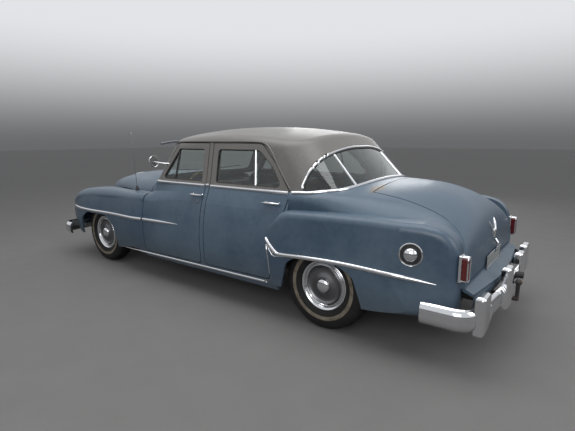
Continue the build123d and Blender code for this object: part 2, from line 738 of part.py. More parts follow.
def bumper(points, way, low, high):
    """Wrap-round bumper blade: a channel with rounded edges, open towards the car."""
    def inside(d):
        ring = grown(points, -d)
        ring[0] = (ring[0][0] - way * 4 * d, ring[0][1], 0)
        ring[-1] = (ring[-1][0] - way * 4 * d, ring[-1][1], 0)
        return ring
    blade = slab_z(points, low, high)
    top = [e for e in blade.edges() if abs(e.center().Z - high) < 1 or abs(e.center().Z - low) < 1]
    front = [e for e in top if way * e.center().X > way * points[0][0] + 5 or e.length > 10000]
    blade = fillet([e for e in front if e.length < 1700 and abs(e.center().Y) < 2000], BUMPER_EDGE_R)
    blade -= slab_z(inside(BUMPER_DEPTH), low - 1, high + 1)
    lip = BUMPER_EDGE_R - 14
    return blade - slab_z(inside(BUMPER_WALL), low + lip, high - lip)


def guard(x, y, low, high, way, half):
    """Broad upright bumper guard with a rounded head and a stepped face."""
    x0, x1 = sorted((x + way * GUARD_PROUD, x - way * GUARD_DEPTH))
    shape = block(x0, x1, y - half, y + half, low, high)
    edges = [e for e in shape.edges() if way * e.center().X > way * x or
             (abs(e.center().Z - high) < 1 and abs(e.center().X - x + way * 10) < 30)]
    return fillet(edges, GUARD_EDGE_R)


def front_bumper():
    """Front bumper blade and two guards."""
    blade = bumper(FRONT_BUMPER, 1, 280, 440)
    for y in (-300, 300):
        blade += guard(2450, y, 272, 520, 1, 55)
    return blade & block(1900, FRONT_REACH, -1000, 1000, 0, 900)


def rear_bumper():
    """Rear bumper blade and four guards."""
    blade = bumper(REAR_BUMPER, -1, 296, 460)
    for x, y, top, half in ((-2784, 250, 592, 62), (-2746, 800, 540, 78)):
        for side in (1, -1):
            blade += guard(x, side * y, 290, top, -1, half)
    return blade


def engine_block():
    """Engine and gearbox as one plain mass on the frame."""
    engine = block(950, 1650, -230, 230, 380, 860)
    return engine + block(350, 950, -110, 110, GEARBOX_LOW, FLOOR_Z)


def rear_axle():
    """Rear axle tube, differential, drums and leaf springs."""
    x, z = REAR_AXLE, TYRE_R
    hub = REAR_TRACK / 2
    axle = rod_y(x, -hub + 96, hub - 96, z, 38) + Pos(x, 0, z) * Sphere(135)
    axle += both_sides(rod_y(x, hub - 96, hub - 62, z, 140) + rod_y(x, hub - 96, hub + 26, z, SPINDLE_R))
    y0 = 468
    arc_low = Edge.make_three_point_arc((x - 690, y0, 342), (x, y0, 290), (x + 690, y0, 342))
    arc_high = Edge.make_three_point_arc((x + 690, y0, 368), (x, y0, 324), (x - 690, y0, 368))
    ends = [Edge.make_line((x + 690, y0, 342), (x + 690, y0, 368)),
            Edge.make_line((x - 690, y0, 368), (x - 690, y0, 342))]
    leaf = extrude(Face(Wire([arc_low, ends[0], arc_high, ends[1]])), amount=56, dir=(0, 1, 0))
    shackles = None
    for end in (x - 675, x + 675):
        pin = rod_y(end, RAIL_Y + RAIL_W, y0 + 60, 355, 16)
        shackles = pin if shackles is None else shackles + pin
    return axle + both_sides(leaf + shackles)


def exhaust():
    """Exhaust pipe and silencer."""
    y, z = -255, 235
    pipe = rod_x(-2480, 900, y, z, 24) + rod_x(-750, -200, y, z, 70)
    return pipe + rod_z(600, y, z, CROSS_LOW, 10) + rod_z(-2440, y, z, 330, 10)


def fuel_tank():
    """Flat fuel tank under the trunk floor."""
    return fillet(block(-2400, -2010, -300, 300, 300, 412).edges(), 25)


def floor_pan():
    """Flat cabin floor."""
    floor = block(HEEL_X, 655, -880, 880, FLOOR_Z, FLOOR_Z + FLOOR_T)
    return floor - both_sides(body_side(-20, DOOR_DEPTH + JAMB + SEAL_GAP))


def trunk_floor():
    """Heel board, bulkhead, parcel shelf, trunk floor and wheelhouses."""
    top = REAR_FLOOR_Z + FLOOR_T
    floor = block(HEEL_X - FLOOR_T, HEEL_X, -780, 780, FLOOR_Z, top)
    floor += block(-1150, HEEL_X - FLOOR_T, -780, 780, REAR_FLOOR_Z, top)
    floor += block(-2595, -1150, -580, 580, REAR_FLOOR_Z, top)
    floor += block(REAR_BODY[-1][0] + PANEL + SEAL_GAP, -2585, -40, 40, top, 600)
    floor += block(-1410, -1400, -590, 590, top, SHELF_Z)
    floor += block(-1745, -1400, -640, 640, SHELF_Z, SHELF_Z + FLOOR_T)
    wheelhouse = rod_y(REAR_AXLE, 580, 880, TYRE_R, WHEELHOUSE_R)
    wheelhouse -= rod_y(REAR_AXLE, 590, 900, TYRE_R, WHEELHOUSE_R - 12)
    wheelhouse -= block(-2100, -1000, 500, 900, -100, 430)
    return floor + both_sides(wheelhouse)


def firewall():
    """Firewall under the cowl and the aprons beside the engine."""
    arcs = inset_arcs(chain_arcs(hood_chain(1110, 741, 165)), PANEL + 3)
    x = 655
    edges = [Edge.make_three_point_arc(*[Vector(x, *p) for p in arc]) for arc in arcs]
    top, last = arcs[0][0], arcs[-1][2]
    corners = [(x, *last), (x, last[0], FLOOR_Z), (x, 0, FLOOR_Z), (x, *top)]
    face = Face(Wire(edges + list(Wire.make_polygon(corners, close=False).edges())))
    wall = both_sides(extrude(face, amount=FLOOR_T, dir=(1, 0, 0)))
    apron = block(x + FLOOR_T, 2140, ARM_IN_Y - 8, ARM_IN_Y - 1, 441, 740)
    aprons = both_sides(apron - block(FRONT_AXLE - 175, FRONT_AXLE + 175, 400, 450, 400, 502))
    return wall + aprons


def dashboard():
    """Instrument panel with a rolled top, and the steering column."""
    outline = [(655, 900, 0), (655, 985, 0), (470, 985, 60), (430, 860, 50), (500, 800, 0)]
    panel = slab_y(outline, -640, 640)
    run = 655 - STEER_HUB[0] - COLUMN_R * sin(STEER_TILT) - SEAL_GAP
    column = bar((STEER_HUB[0] + run, WHEEL_Y, STEER_HUB[2] - run * tan(STEER_TILT)), STEER_HUB, COLUMN_R)
    return panel + column


def steering_wheel():
    """Steering wheel with three spokes and a horn ring."""
    away = Vector(-cos(STEER_TILT), 0, sin(STEER_TILT))
    seat = Vector(*STEER_HUB) + away * PIN_GAP
    plane = Plane(origin=seat, x_dir=(0, 1, 0), z_dir=away)
    wheel = plane * (Pos(0, 0, 40) * Torus(STEER_R, 11))
    wheel += plane * (Pos(0, 0, 25) * Cylinder(38, 50))
    for turn in (0, 120, 240):
        wheel += plane * (Rot(0, 0, turn + 90) * Pos(STEER_R / 2, 0, 38) * Box(STEER_R - 8, 20, 8))
    return wheel


def front_seat_cushion():
    """Front bench cushion."""
    return rounded_box(-420, 110, -SEAT_HALF, SEAT_HALF, FLOOR_Z + FLOOR_T + 120, 700, 50)


def front_seat_back():
    """Front bench backrest, leaning back."""
    back = rounded_box(-70, 70, -SEAT_HALF, SEAT_HALF, 0, 520, 50)
    return Pos(-479.5, 0, 560) * Rot(0, -12, 0) * back


def seat_frames():
    """Seat risers bolted to the floor."""
    low = FLOOR_Z + FLOOR_T
    return block(-380, 60, -560, 560, low, low + 120)


def rear_seat_cushion():
    """Rear bench cushion."""
    low = REAR_FLOOR_Z + FLOOR_T + SEAL_GAP
    return rounded_box(-1290, -800, -SEAT_HALF + 60, SEAT_HALF - 60, low, low + 165, 50)


def rear_seat_back():
    """Rear bench backrest."""
    back = rounded_box(-55, 55, -SEAT_HALF + 60, SEAT_HALF - 60, 0, 345, 50)
    return Pos(-1282, 0, 687.2) * Rot(0, -8, 0) * back


def headlamps():
    """Headlamp bezels seated on the fender noses."""
    x = FRONT_FENDER[-1][0] + CAP_DEPTH
    ring = rod_x(x, x + 30, LAMP_Y, LAMP_Z, LAMP_R) - rod_x(x - 1, x + 40, LAMP_Y, LAMP_Z, LAMP_R - 14)
    return both_sides(ring)


def headlamp_lenses():
    """Domed headlamp lenses."""
    x = FRONT_FENDER[-1][0] + CAP_DEPTH
    lens = rod_x(x, x + 24, LAMP_Y, LAMP_Z, LAMP_R - 14 - SEAL_GAP)
    rim = [e for e in lens.edges() if e.center().X > x + 20]
    return both_sides(fillet(rim, 18))


def nose_band(z0, z1):
    """Curved band between the fender noses, open at the back and below."""
    inner = grown(NOSE, -PANEL)
    inner[0] = (2200, inner[0][1], 0)
    inner[-1] = (2200, inner[-1][1], 0)
    return slab_z(NOSE, z0, z1) - slab_z(inner, z0 - 1, z1 - PANEL)


def nose_panel():
    """Painted nose between hood and grille, the bar over the grille and the apron below it."""
    stations = [(2271, hood_chain(856, 269, 104)), (2404, hood_chain(738, 258, 60))]
    nose = both_sides(strip_loft(stations, 0, PANEL, True))
    arms = both_sides(block(2300, 2500, RAIL_Y, RAIL_Y + 56, 337, 393))
    return nose + nose_band(640, 702) + (nose_band(325, 430) - arms)


def grille():
    """Curved grille bars between the nose panels, tied by two uprights."""
    bars = None
    for z in (440, 495, 550, 605):
        outer = slab_z(grown(NOSE, -6), z, z + 24)
        inner = grown(NOSE, -46)
        inner[0] = (2200, inner[0][1], 0)
        inner[-1] = (2200, inner[-1][1], 0)
        piece = outer - slab_z(inner, z - 1, z + 25)
        bars = piece if bars is None else bars + piece
    return bars + block(2370, 2390, -14, 14, 430, 640)


def tail_lamp_housing():
    """Chrome tail-lamp housings on the ends of the rear fenders."""
    y0, y1, z0, z1 = TAIL_LAMP
    body = block(TAIL_X - TAIL_BEZEL, TAIL_X, y0, y1, z0, z1)
    return both_sides(fillet([e for e in body.edges() if e.center().X < TAIL_X - 1], 8))


def tail_lens():
    """Red tail-lamp lenses."""
    y0, y1, z0, z1 = TAIL_LAMP
    x = TAIL_X - TAIL_BEZEL - SEAL_GAP
    body = block(x - TAIL_LENS, x, y0 + 9, y1 - 9, z0 + 12, z1 - 12)
    return both_sides(fillet([e for e in body.edges() if e.center().X < x - 1], 14))


def handle(x0, x1, z, skin):
    """Door pull bar on two feet."""
    y = 870
    shape = rod_x(x0, x1, y, z, 9)
    for x in (x0 + 22, x1 - 20):
        shape += rod_y(x, y, 828, z, 8)
    return shape - skin


def side_mirror():
    """Round mirror on the left front door frame."""
    arm = bar((312, 752, 1240), (456, 846, 1262), 7)
    head = bar((452, 846, 1262), (476, 846, 1262), 60)
    return arm + head - greenhouse(0)


def sun_visor():
    """Outside visor over the windshield."""
    arc = Edge.make_three_point_arc((200, -700, 1412), (200, 0, 1474), (200, 700, 1412))
    back = Edge.make_three_point_arc((200, 700, 1422), (200, 0, 1484), (200, -700, 1422))
    sides = [Edge.make_line((200, 700, 1412), (200, 700, 1422)),
             Edge.make_line((200, -700, 1422), (200, -700, 1412))]
    sheet = extrude(Face(Wire([arc, sides[0], back, sides[1]])), amount=600, dir=(1, 0, 0))
    sheet = sheet.rotate(Axis((640, 0, 1412), (0, 1, 0)), VISOR_TILT)
    plan = [(240, 655, 0), (640, 640, 90), (760, 0, 2000), (640, -640, 90), (240, -655, 0)]
    return (sheet & slab_z(plan, 1300, 1600)) - greenhouse(0)


def fuel_cap():
    """Round fuel cap on the left rear fender."""
    return rod_y(-2313, 925, 964, 751, 52) - rear_fender()


def tow_bar():
    """Tow bar with a swan neck, ball and socket."""
    neck = block(-2490, -2480, -60, 60, 330, 390) + bar((-2493, 0, 360), (-2690, 0, 276), 18)
    neck += Pos(-2690, 0, 276) * Sphere(18) + bar((-2690, 0, 276), (-2820, 0, 276), 16)
    neck += Pos(-2820, 0, 276) * Sphere(16) + bar((-2820, 0, 276), TOW_BALL, 14)
    neck += Pos(*TOW_BALL) * Sphere(25)
    socket = rod_x(-2840, -2790, -100, 440, 26) - rear_bumper()
    return neck + socket


def make_nodes():
    """Every piece of the car by name."""
    nodes = {}
    frame, cowl = cowl_and_sills()
    nodes["chassis_frame"] = chassis_frame()
    nodes["engine_block"] = engine_block()
    nodes["rear_axle"] = rear_axle()
    nodes["control_arms"] = control_arms()
    nodes["exhaust"] = exhaust()
    nodes["fuel_tank"] = fuel_tank()
    nodes["floor_pan"] = floor_pan()
    nodes["trunk_floor"] = trunk_floor()
    nodes["firewall"] = firewall()
    nodes["roof_and_pillars"] = roof_and_pillars()
    nodes["sills_and_posts"] = frame
    nodes["cowl"] = cowl
    nodes["rear_body"] = rear_body()
    nodes["rear_fenders"] = both_sides(rear_fender())
    nodes["front_fenders"] = both_sides(front_fender())
    nodes["nose_panel"] = nose_panel()
    nodes["grille"] = grille()
    nodes["front_bumper"] = front_bumper()
    nodes["rear_bumper"] = rear_bumper()
    nodes["headlamps"] = headlamps()
    nodes["headlamp_lenses"] = headlamp_lenses()
    nodes["tail_lamp_housings"] = tail_lamp_housing()
    nodes["tail_lenses"] = tail_lens()
    nodes["windshield"] = windshield_glass()
    nodes["backlight"] = backlight_glass()
    nodes["dashboard"] = dashboard()
    nodes["seat_frames"] = seat_frames()
    nodes["front_seat_cushion"] = front_seat_cushion()
    nodes["front_seat_back"] = front_seat_back()
    nodes["rear_seat_cushion"] = rear_seat_cushion()
    nodes["rear_seat_back"] = rear_seat_back()
    nodes["sun_visor"] = sun_visor()
    nodes["fuel_cap"] = fuel_cap()
    nodes["tow_bar"] = tow_bar()
    nodes["hood"] = hood()
    nodes["trunk_lid"] = trunk_lid()
    nodes["steering_wheel"] = steering_wheel()
    doors = (("front", FRONT_DOOR, FRONT_WINDOW, (-272, -92)),
             ("rear", REAR_DOOR, REAR_WINDOW, (-1190, -1000)))
    for name, outline, window, (x0, x1) in doors:
        panel = door(outline, window)
        glass = door_glass(window)
        grip = handle(x0, x1, 970, panel)
        for side, turn in (("left", False), ("right", True)):
            for kind, shape in (("door", panel), ("glass", glass), ("handle", grip)):
                placed = mirror(shape, Plane.XZ) if turn else shape
                nodes[f"{kind}_{name}_{side}"] = placed
    nodes["side_mirror"] = side_mirror()
    for end, x, track in (("front", FRONT_AXLE, FRONT_TRACK), ("rear", REAR_AXLE, REAR_TRACK)):
        for side, sign in (("left", 1), ("right", -1)):
            tyre_shape, wheel_shape = wheel_at(x, track / 2, sign)
            nodes[f"tyre_{end}_{side}"] = tyre_shape
            nodes[f"wheel_{end}_{side}"] = wheel_shape
    nodes["knuckle_left"] = knuckle(1)
    nodes["knuckle_right"] = knuckle(-1)
    return nodes


if __name__ == "__main__":
    os.makedirs("parts", exist_ok=True)
    for name, shape in make_nodes().items():
        export_step(Pos(SHIFT, 0, 0) * shape, f"parts/{name}.step")
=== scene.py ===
"""Looks of the four-door sedan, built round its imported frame. Lengths are in metres."""

from math import atan2, cos, pi, radians, sin

import bmesh
import bpy
from mathutils import Matrix, Vector
from mathutils.bvhtree import BVHTree


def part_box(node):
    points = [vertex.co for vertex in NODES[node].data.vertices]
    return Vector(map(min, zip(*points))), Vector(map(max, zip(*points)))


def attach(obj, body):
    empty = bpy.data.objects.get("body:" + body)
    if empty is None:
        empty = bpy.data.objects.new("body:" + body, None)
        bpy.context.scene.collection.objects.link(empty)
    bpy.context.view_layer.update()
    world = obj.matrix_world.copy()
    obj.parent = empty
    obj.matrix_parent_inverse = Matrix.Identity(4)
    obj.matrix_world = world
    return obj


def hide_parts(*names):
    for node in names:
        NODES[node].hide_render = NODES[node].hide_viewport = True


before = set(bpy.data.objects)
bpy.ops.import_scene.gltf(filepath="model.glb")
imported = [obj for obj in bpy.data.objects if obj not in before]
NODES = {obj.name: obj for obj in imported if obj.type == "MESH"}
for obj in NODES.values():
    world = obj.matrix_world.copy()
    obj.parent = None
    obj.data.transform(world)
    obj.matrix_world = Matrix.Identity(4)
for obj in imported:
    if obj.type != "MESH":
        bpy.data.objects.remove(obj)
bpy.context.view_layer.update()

SCENE = bpy.context.scene
SIDES = (("left", 1), ("right", -1))

# Camera of the photograph
EYE = Vector((-3.068, 3.492, 1.491))
YAW, PITCH, ROLL = radians(-53.0), radians(-10.4), radians(-0.17)
FOCAL_PIXELS, IMAGE_WIDTH, SENSOR = 419.9, 575, 36.0

# Driving sizes, the first three taken from the frame. SHIFT is how far forward of the frame's origin
# the middle of the wheelbase lies.
FRONT_AXLE = sum(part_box("wheel_front_left")[i].x for i in (0, 1)) / 2
REAR_AXLE = sum(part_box("wheel_rear_left")[i].x for i in (0, 1)) / 2
TYRE_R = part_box("tyre_rear_left")[1].z / 2
SHIFT = 0.187
BELT_Z = 1.056
# Steering wheel: middle of the hub, lean of the column and radius of the rim
STEER_HUB = Vector((0.225 + SHIFT, 0.370, 0.915))
STEER_TILT, STEER_R = radians(33), 0.215
# White ring of the tyre wall: inner and outer radius
WHITE_RING = (0.246, 0.276)

# Paint of the body and of the roof: fresh, faded and dusty
BODY_TONES = ((56, 74, 92), (84, 101, 115), (68, 68, 67))
ROOF_TONES = ((98, 96, 93), (114, 112, 108), (102, 100, 96))


def rgb(red, green, blue):
    """Linear colour from 0 to 255 screen values."""
    def linear(value):
        value /= 255
        return value / 12.92 if value <= 0.04045 else ((value + 0.055) / 1.055) ** 2.4
    return (linear(red), linear(green), linear(blue), 1.0)


# Finishes

def arithmetic(operation, flipped=False):
    """What one of Python's arithmetic signs does with shader values."""
    if flipped:
        return lambda value, other: value.math(operation, other, value)
    return lambda value, other: value.math(operation, value, other)


class Value:
    """A shader socket that takes part in Python arithmetic."""

    def __init__(self, finish, socket):
        self.finish = finish
        self.socket = socket

    def math(self, operation, *values):
        return self.finish.node("ShaderNodeMath", {"operation": operation}, dict(enumerate(values)))

    __add__, __radd__ = arithmetic("ADD"), arithmetic("ADD", True)
    __sub__, __rsub__ = arithmetic("SUBTRACT"), arithmetic("SUBTRACT", True)
    __mul__, __rmul__ = arithmetic("MULTIPLY"), arithmetic("MULTIPLY", True)
    __truediv__ = arithmetic("DIVIDE")
    __gt__, __lt__ = arithmetic("GREATER_THAN"), arithmetic("LESS_THAN")

    def root(self):
        return self.math("SQRT", self)

    def sine(self):
        return self.math("SINE", self)

    def size(self):
        return self.math("ABSOLUTE", self)


class Finish:
    """A material whose nodes are made by expressions."""

    def __init__(self, name, **constants):
        self.material = bpy.data.materials.new(name)
        self.material.use_nodes = True
        self.tree = self.material.node_tree
        self.shader = self.tree.nodes["Principled BSDF"]
        self.place = self.node("ShaderNodeTexCoord", output="Object")
        for name, value in constants.items():
            self.set(name.replace("_", " "), value)

    def node(self, kind, settings=None, inputs=None, output=0):
        """Any node: its settings first, then the values or links of its sockets."""
        made = self.tree.nodes.new(kind)
        for name, value in (settings or {}).items():
            setattr(made, name, value)
        for name, value in (inputs or {}).items():
            self.feed(made.inputs[name], value)
        return Value(self, made.outputs[output])

    def feed(self, socket, value):
        if isinstance(value, Value):
            self.tree.links.new(value.socket, socket)
        else:
            socket.default_value = value

    def set(self, socket, value):
        self.feed(self.shader.inputs[socket], value)

    def axis(self, letter, source=None):
        """One coordinate of the piece's own space."""
        return self.node("ShaderNodeSeparateXYZ", None, {"Vector": source or self.place}, letter)

    def noise(self, scale, detail=3, roughness=0.5):
        inputs = {"Scale": scale, "Detail": detail, "Roughness": roughness, "Vector": self.place}
        return self.node("ShaderNodeTexNoise", None, inputs)

    def threads(self, direction, scale):
        """Slightly uneven waves along one axis, from 0 to 1."""
        inputs = {"Vector": self.place, "Scale": scale, "Distortion": 0.6}
        return self.node("ShaderNodeTexWave", {"bands_direction": direction}, inputs, "Fac")

    def ease(self, value, low, high):
        """Smooth step from 0 at low to 1 at high."""
        settings = {"interpolation_type": "SMOOTHSTEP"}
        inputs = {"Value": value, "From Min": low, "From Max": high}
        return self.node("ShaderNodeMapRange", settings, inputs)

    def mix(self, factor, first, second):
        """Colour between two colours."""
        return self.node("ShaderNodeMix", {"data_type": "RGBA"}, {0: factor, 6: first, 7: second}, 2)

    def bump(self, height, distance, strength=1.0):
        inputs = {"Height": height, "Distance": distance, "Strength": strength}
        self.set("Normal", self.node("ShaderNodeBump", None, inputs))


def weather(paint):
    """Chalky patches, fine mottling and the dusty band low down, as shares."""
    patches = paint.ease(paint.noise(1.7, 5, 0.62), 0.36, 0.66)
    mottle = paint.ease(paint.noise(26, 4, 0.6), 0.3, 0.7)
    low = 1 - paint.ease(paint.axis("Z"), 0.24, 0.52)
    return patches, mottle, low


def enamel(paint, tones, patches, mottle, low):
    """Colour of old enamel: weathered, with dark stains and road dust low down."""
    fresh, faded, dust = (rgb(*tone) for tone in tones)
    colour = paint.mix(patches * 0.6 + mottle * 0.2, fresh, faded)
    up = paint.node("ShaderNodeNewGeometry", output="Normal")
    lie = paint.ease(paint.axis("Z", up), 0.25, 1.0)
    blotch = paint.ease(paint.noise(5.5, 6, 0.7), 0.52, 0.7)
    colour = paint.mix(lie * (0.35 + blotch * 0.3), colour, faded)
    stain = paint.ease(paint.noise(9, 6, 0.72), 0.62, 0.74)
    dark = tuple(c * 0.5 for c in fresh[:3]) + (1.0,)
    colour = paint.mix(stain * 0.45, colour, dark)
    grit = paint.noise(40, 4, 0.7)
    return paint.mix(low * (0.2 + grit * 0.45), colour, dust)


def painted(name, tones, upper=None, rust=None):
    """Old enamel in one tone, or in two that meet at the belt; rust is a spot by axis, place and reach."""
    paint = Finish(name, Specular_IOR_Level=0.45, Coat_Roughness=0.24)
    patches, mottle, low = weather(paint)
    colour = enamel(paint, tones, patches, mottle, low)
    if upper:
        above = paint.axis("Z") > BELT_Z
        colour = paint.mix(above, colour, enamel(paint, upper, patches, mottle, low))
    specks = paint.ease(paint.noise(34, 5, 0.7), 0.755, 0.775)
    colour = paint.mix(specks * 0.8, colour, rgb(88, 58, 42))
    if rust:
        far = [(paint.axis(letter) - centre).size() / reach for letter, centre, reach in rust]
        ragged = far[0] + far[1] + paint.noise(24, 5, 0.7) * 0.9
        colour = paint.mix((1 - paint.ease(ragged, 0.9, 1.5)) * 0.75, colour, rgb(104, 84, 60))
    paint.set("Base Color", colour)
    paint.set("Roughness", 0.38 + patches * 0.12 + low * 0.2 + mottle * 0.05)
    paint.set("Coat Weight", 0.22 - patches * 0.16)
    paint.bump(paint.noise(180, 2), 0.0004, 0.25)
    return paint.material


def bright_metal(name, tint=(0.78, 0.79, 0.8, 1.0), gloss=0.07, wear=0.5):
    """Plated metal with fine haze, pits and dulled patches."""
    metal = Finish(name, Metallic=1.0)
    haze = metal.ease(metal.noise(14, 4, 0.6), 0.4, 0.75)
    pits = metal.ease(metal.noise(420, 2, 0.5), 0.66, 0.74)
    brown = tuple(c * w for c, w in zip(tint[:3], (0.5, 0.42, 0.34))) + (1.0,)
    metal.set("Base Color", metal.mix(haze * 0.12 * wear + pits * 0.4 * wear, tint, brown))
    metal.set("Roughness", gloss + haze * 0.1 * wear + pits * 0.2 * wear)
    metal.bump(pits, 0.0002, 0.2)
    return metal.material


def plain_metal(name, colour, second, roughness, metallic=0.0):
    """Dusty painted or bare steel of the underside."""
    steel = Finish(name, Metallic=metallic)
    patch = steel.ease(steel.noise(9, 6, 0.68), 0.42, 0.62)
    steel.set("Base Color", steel.mix(patch, colour, second))
    steel.set("Roughness", roughness + patch * 0.2)
    steel.bump(steel.noise(60, 5, 0.7), 0.0012, 0.5)
    return steel.material


def clear_glass():
    """Side and rear glass with a faint green tint and a film of dust."""
    glass = Finish("window_glass", IOR=1.46, Transmission_Weight=1.0)
    film = glass.ease(glass.noise(7, 5, 0.65), 0.45, 0.75)
    glass.set("Base Color", glass.mix(film * 0.35, (0.86, 0.93, 0.91, 1.0), (0.7, 0.74, 0.72, 1.0)))
    glass.set("Roughness", film * 0.03)
    return glass.material


def lens(name, tint, **constants):
    """Smooth lens of one tint."""
    return Finish(name, IOR=1.5, Base_Color=tint, **constants).material


def tyre_rubber():
    """Worn rubber with a yellowed white ring on its outer wall."""
    rubber = Finish("tyre_rubber", Specular_IOR_Level=0.35)
    x, z = rubber.axis("X"), rubber.axis("Z")
    front = x > (FRONT_AXLE + REAR_AXLE) / 2
    across = x - REAR_AXLE - front * (FRONT_AXLE - REAR_AXLE)
    up = z - TYRE_R
    radius = (across * across + up * up).root()
    ring = (radius > WHITE_RING[0]) * (radius < WHITE_RING[1])
    smear = rubber.ease(rubber.noise(22, 5, 0.7), 0.3, 0.75)
    white = rubber.mix(smear, rgb(132, 124, 110), rgb(84, 76, 66))
    dust = rubber.ease(rubber.noise(12, 5, 0.7), 0.45, 0.75)
    black = rubber.mix(dust * 0.6, rgb(18, 18, 19), rgb(46, 43, 40))
    rubber.set("Base Color", rubber.mix(ring * 0.92, black, white))
    rubber.set("Roughness", 0.72 + dust * 0.15)
    ribs = (radius * 1600).sine()
    rubber.bump(rubber.noise(220, 3) * 0.6 + ribs * 0.12, 0.0008, 0.5)
    return rubber.material


def woven_cloth(name, light, dark, scale=150):
    """Ribbed wool cloth with worn, lighter patches."""
    cloth = Finish(name, Specular_IOR_Level=0.2, Sheen_Weight=0.25, Sheen_Roughness=0.5)
    warp, weft = cloth.threads("X", scale), cloth.threads("Y", scale)
    worn = cloth.ease(cloth.noise(6, 4, 0.6), 0.35, 0.7)
    cloth.set("Base Color", cloth.mix(warp * weft * 0.6 + worn * 0.3, dark, light))
    cloth.set("Roughness", 0.82 + worn * 0.1)
    cloth.bump(warp + weft, 0.0006, 0.5)
    return cloth.material


def shelf_cloth():
    """Dark carpet below, and the blue-grey shelf behind the rear seat."""
    cloth = Finish("shelf_cloth", Specular_IOR_Level=0.3)
    grain = cloth.ease(cloth.noise(160, 4, 0.6), 0.3, 0.7)
    shelf = cloth.mix(grain * 0.6, rgb(112, 134, 142), rgb(84, 104, 112))
    carpet = cloth.mix(grain, rgb(60, 56, 52), rgb(34, 32, 30))
    cloth.set("Base Color", cloth.mix(cloth.axis("Z") > 1.0, carpet, shelf))
    cloth.set("Roughness", 0.7 + grain * 0.15)
    cloth.bump(grain, 0.0008, 0.5)
    return cloth.material


def plain_plastic(name, light, dark, roughness):
    """Hard moulded plastic or painted trim, yellowed in patches."""
    plastic = Finish(name, Coat_Weight=0.2, Coat_Roughness=0.3)
    patch = plastic.ease(plastic.noise(18, 4, 0.6), 0.35, 0.7)
    plastic.set("Base Color", plastic.mix(patch, light, dark))
    plastic.set("Roughness", roughness + patch * 0.1)
    plastic.bump(plastic.noise(240, 2), 0.0003, 0.3)
    return plastic.material


LID_CORNER = (("X", -1.86 + SHIFT, 0.075), ("Y", 0.47, 0.17))
BLUE = painted("blue_paint", BODY_TONES)
DECK = painted("deck_paint", BODY_TONES, rust=LID_CORNER)
ROOF = painted("roof_paint", ROOF_TONES)
DOOR = painted("door_paint", BODY_TONES, ROOF_TONES)
CHROME = bright_metal("chrome", (0.72, 0.73, 0.75, 1.0))
STAINLESS = bright_metal("stainless_trim", (0.60, 0.61, 0.63, 1.0), 0.14, 0.6)
BRUSHED = bright_metal("brushed_dish", (0.19, 0.19, 0.20, 1.0), 0.34, 0.8)
FRAME_STEEL = plain_metal("frame_steel", rgb(34, 34, 35), rgb(72, 56, 44), 0.6)
RUSTY_PIPE = plain_metal("rusty_pipe", rgb(88, 62, 46), rgb(58, 48, 42), 0.65, 0.4)
IRON = plain_metal("engine_iron", rgb(52, 56, 60), rgb(40, 34, 30), 0.5, 0.3)
GLASS = clear_glass()
RED = lens("red_lens", rgb(84, 8, 10), Specular_IOR_Level=0.6, Coat_Weight=0.6, Roughness=0.14)
LAMP = lens("lamp_glass", rgb(170, 176, 178), Coat_Weight=0.8, Coat_Roughness=0.03, Metallic=0.35,
            Roughness=0.1)
RUBBER = tyre_rubber()
SEAL = plain_plastic("black_rubber", rgb(20, 20, 21), rgb(34, 33, 32), 0.62)
SEAT = woven_cloth("seat_cloth", rgb(104, 98, 88), rgb(52, 49, 46))
CARPET = woven_cloth("carpet", rgb(62, 58, 54), rgb(32, 30, 29), 500 / 6)
HEADLINER = woven_cloth("headliner_cloth", rgb(150, 142, 126), rgb(118, 110, 96), 700 / 6)
WHEEL_PLASTIC = plain_plastic("wheel_plastic", rgb(214, 192, 146), rgb(150, 116, 74), 0.3)
DASH = plain_plastic("dash_paint", rgb(92, 92, 90), rgb(64, 64, 64), 0.35)
SHELF = shelf_cloth()
VISOR = plain_plastic("visor_paint", rgb(62, 70, 80), rgb(40, 46, 54), 0.45)
PIPING = plain_plastic("seat_piping", rgb(60, 57, 54), rgb(40, 38, 37), 0.45)
CARD = woven_cloth("door_card_cloth", rgb(116, 112, 104), rgb(70, 68, 64))
PLATE = plain_plastic("blank_plate", rgb(150, 152, 150), rgb(128, 130, 128), 0.4)
DIAL = plain_plastic("dial_face", rgb(186, 180, 160), rgb(150, 146, 132), 0.3)
AMBER = plain_plastic("parking_lens", rgb(206, 202, 190), rgb(184, 170, 140), 0.16)

# Slot that each finish of an added piece stands for
SLOTS = {
    "chrome": (CHROME, STAINLESS, BRUSHED), "tyre": (RUBBER, SEAL), "wheel_plastic": (WHEEL_PLASTIC,),
    "seat_cloth": (SEAT, PIPING, HEADLINER, CARD), "dash_paint": (DIAL, PLATE), "clear_glass": (AMBER,),
    "body_paint": (BLUE,),
}
SLOT_OF = {finish.name: slot for slot, finishes in SLOTS.items() for finish in finishes}

NODES_BY_FINISH = (
    (FRAME_STEEL, "chassis_frame rear_axle control_arms fuel_tank seat_frames tow_bar"),
    (IRON, "engine_block knuckle_left knuckle_right"), (RUSTY_PIPE, "exhaust"),
    (BLUE, "firewall sills_and_posts cowl rear_fenders front_fenders nose_panel hood"),
    (DECK, "rear_body trunk_lid"), (ROOF, "roof_and_pillars"), (CARPET, "floor_pan"),
    (SHELF, "trunk_floor"), (DASH, "dashboard"), (VISOR, "sun_visor"), (LAMP, "headlamp_lenses"),
    (CHROME, "grille front_bumper rear_bumper headlamps tail_lamp_housings fuel_cap side_mirror"),
    (RED, "tail_lenses"), (GLASS, "windshield backlight"), (WHEEL_PLASTIC, "steering_wheel"),
    (SEAT, "front_seat_cushion front_seat_back rear_seat_cushion rear_seat_back"),
)
NODE_FINISH = {node: finish for finish, nodes in NODES_BY_FINISH for node in nodes.split()}
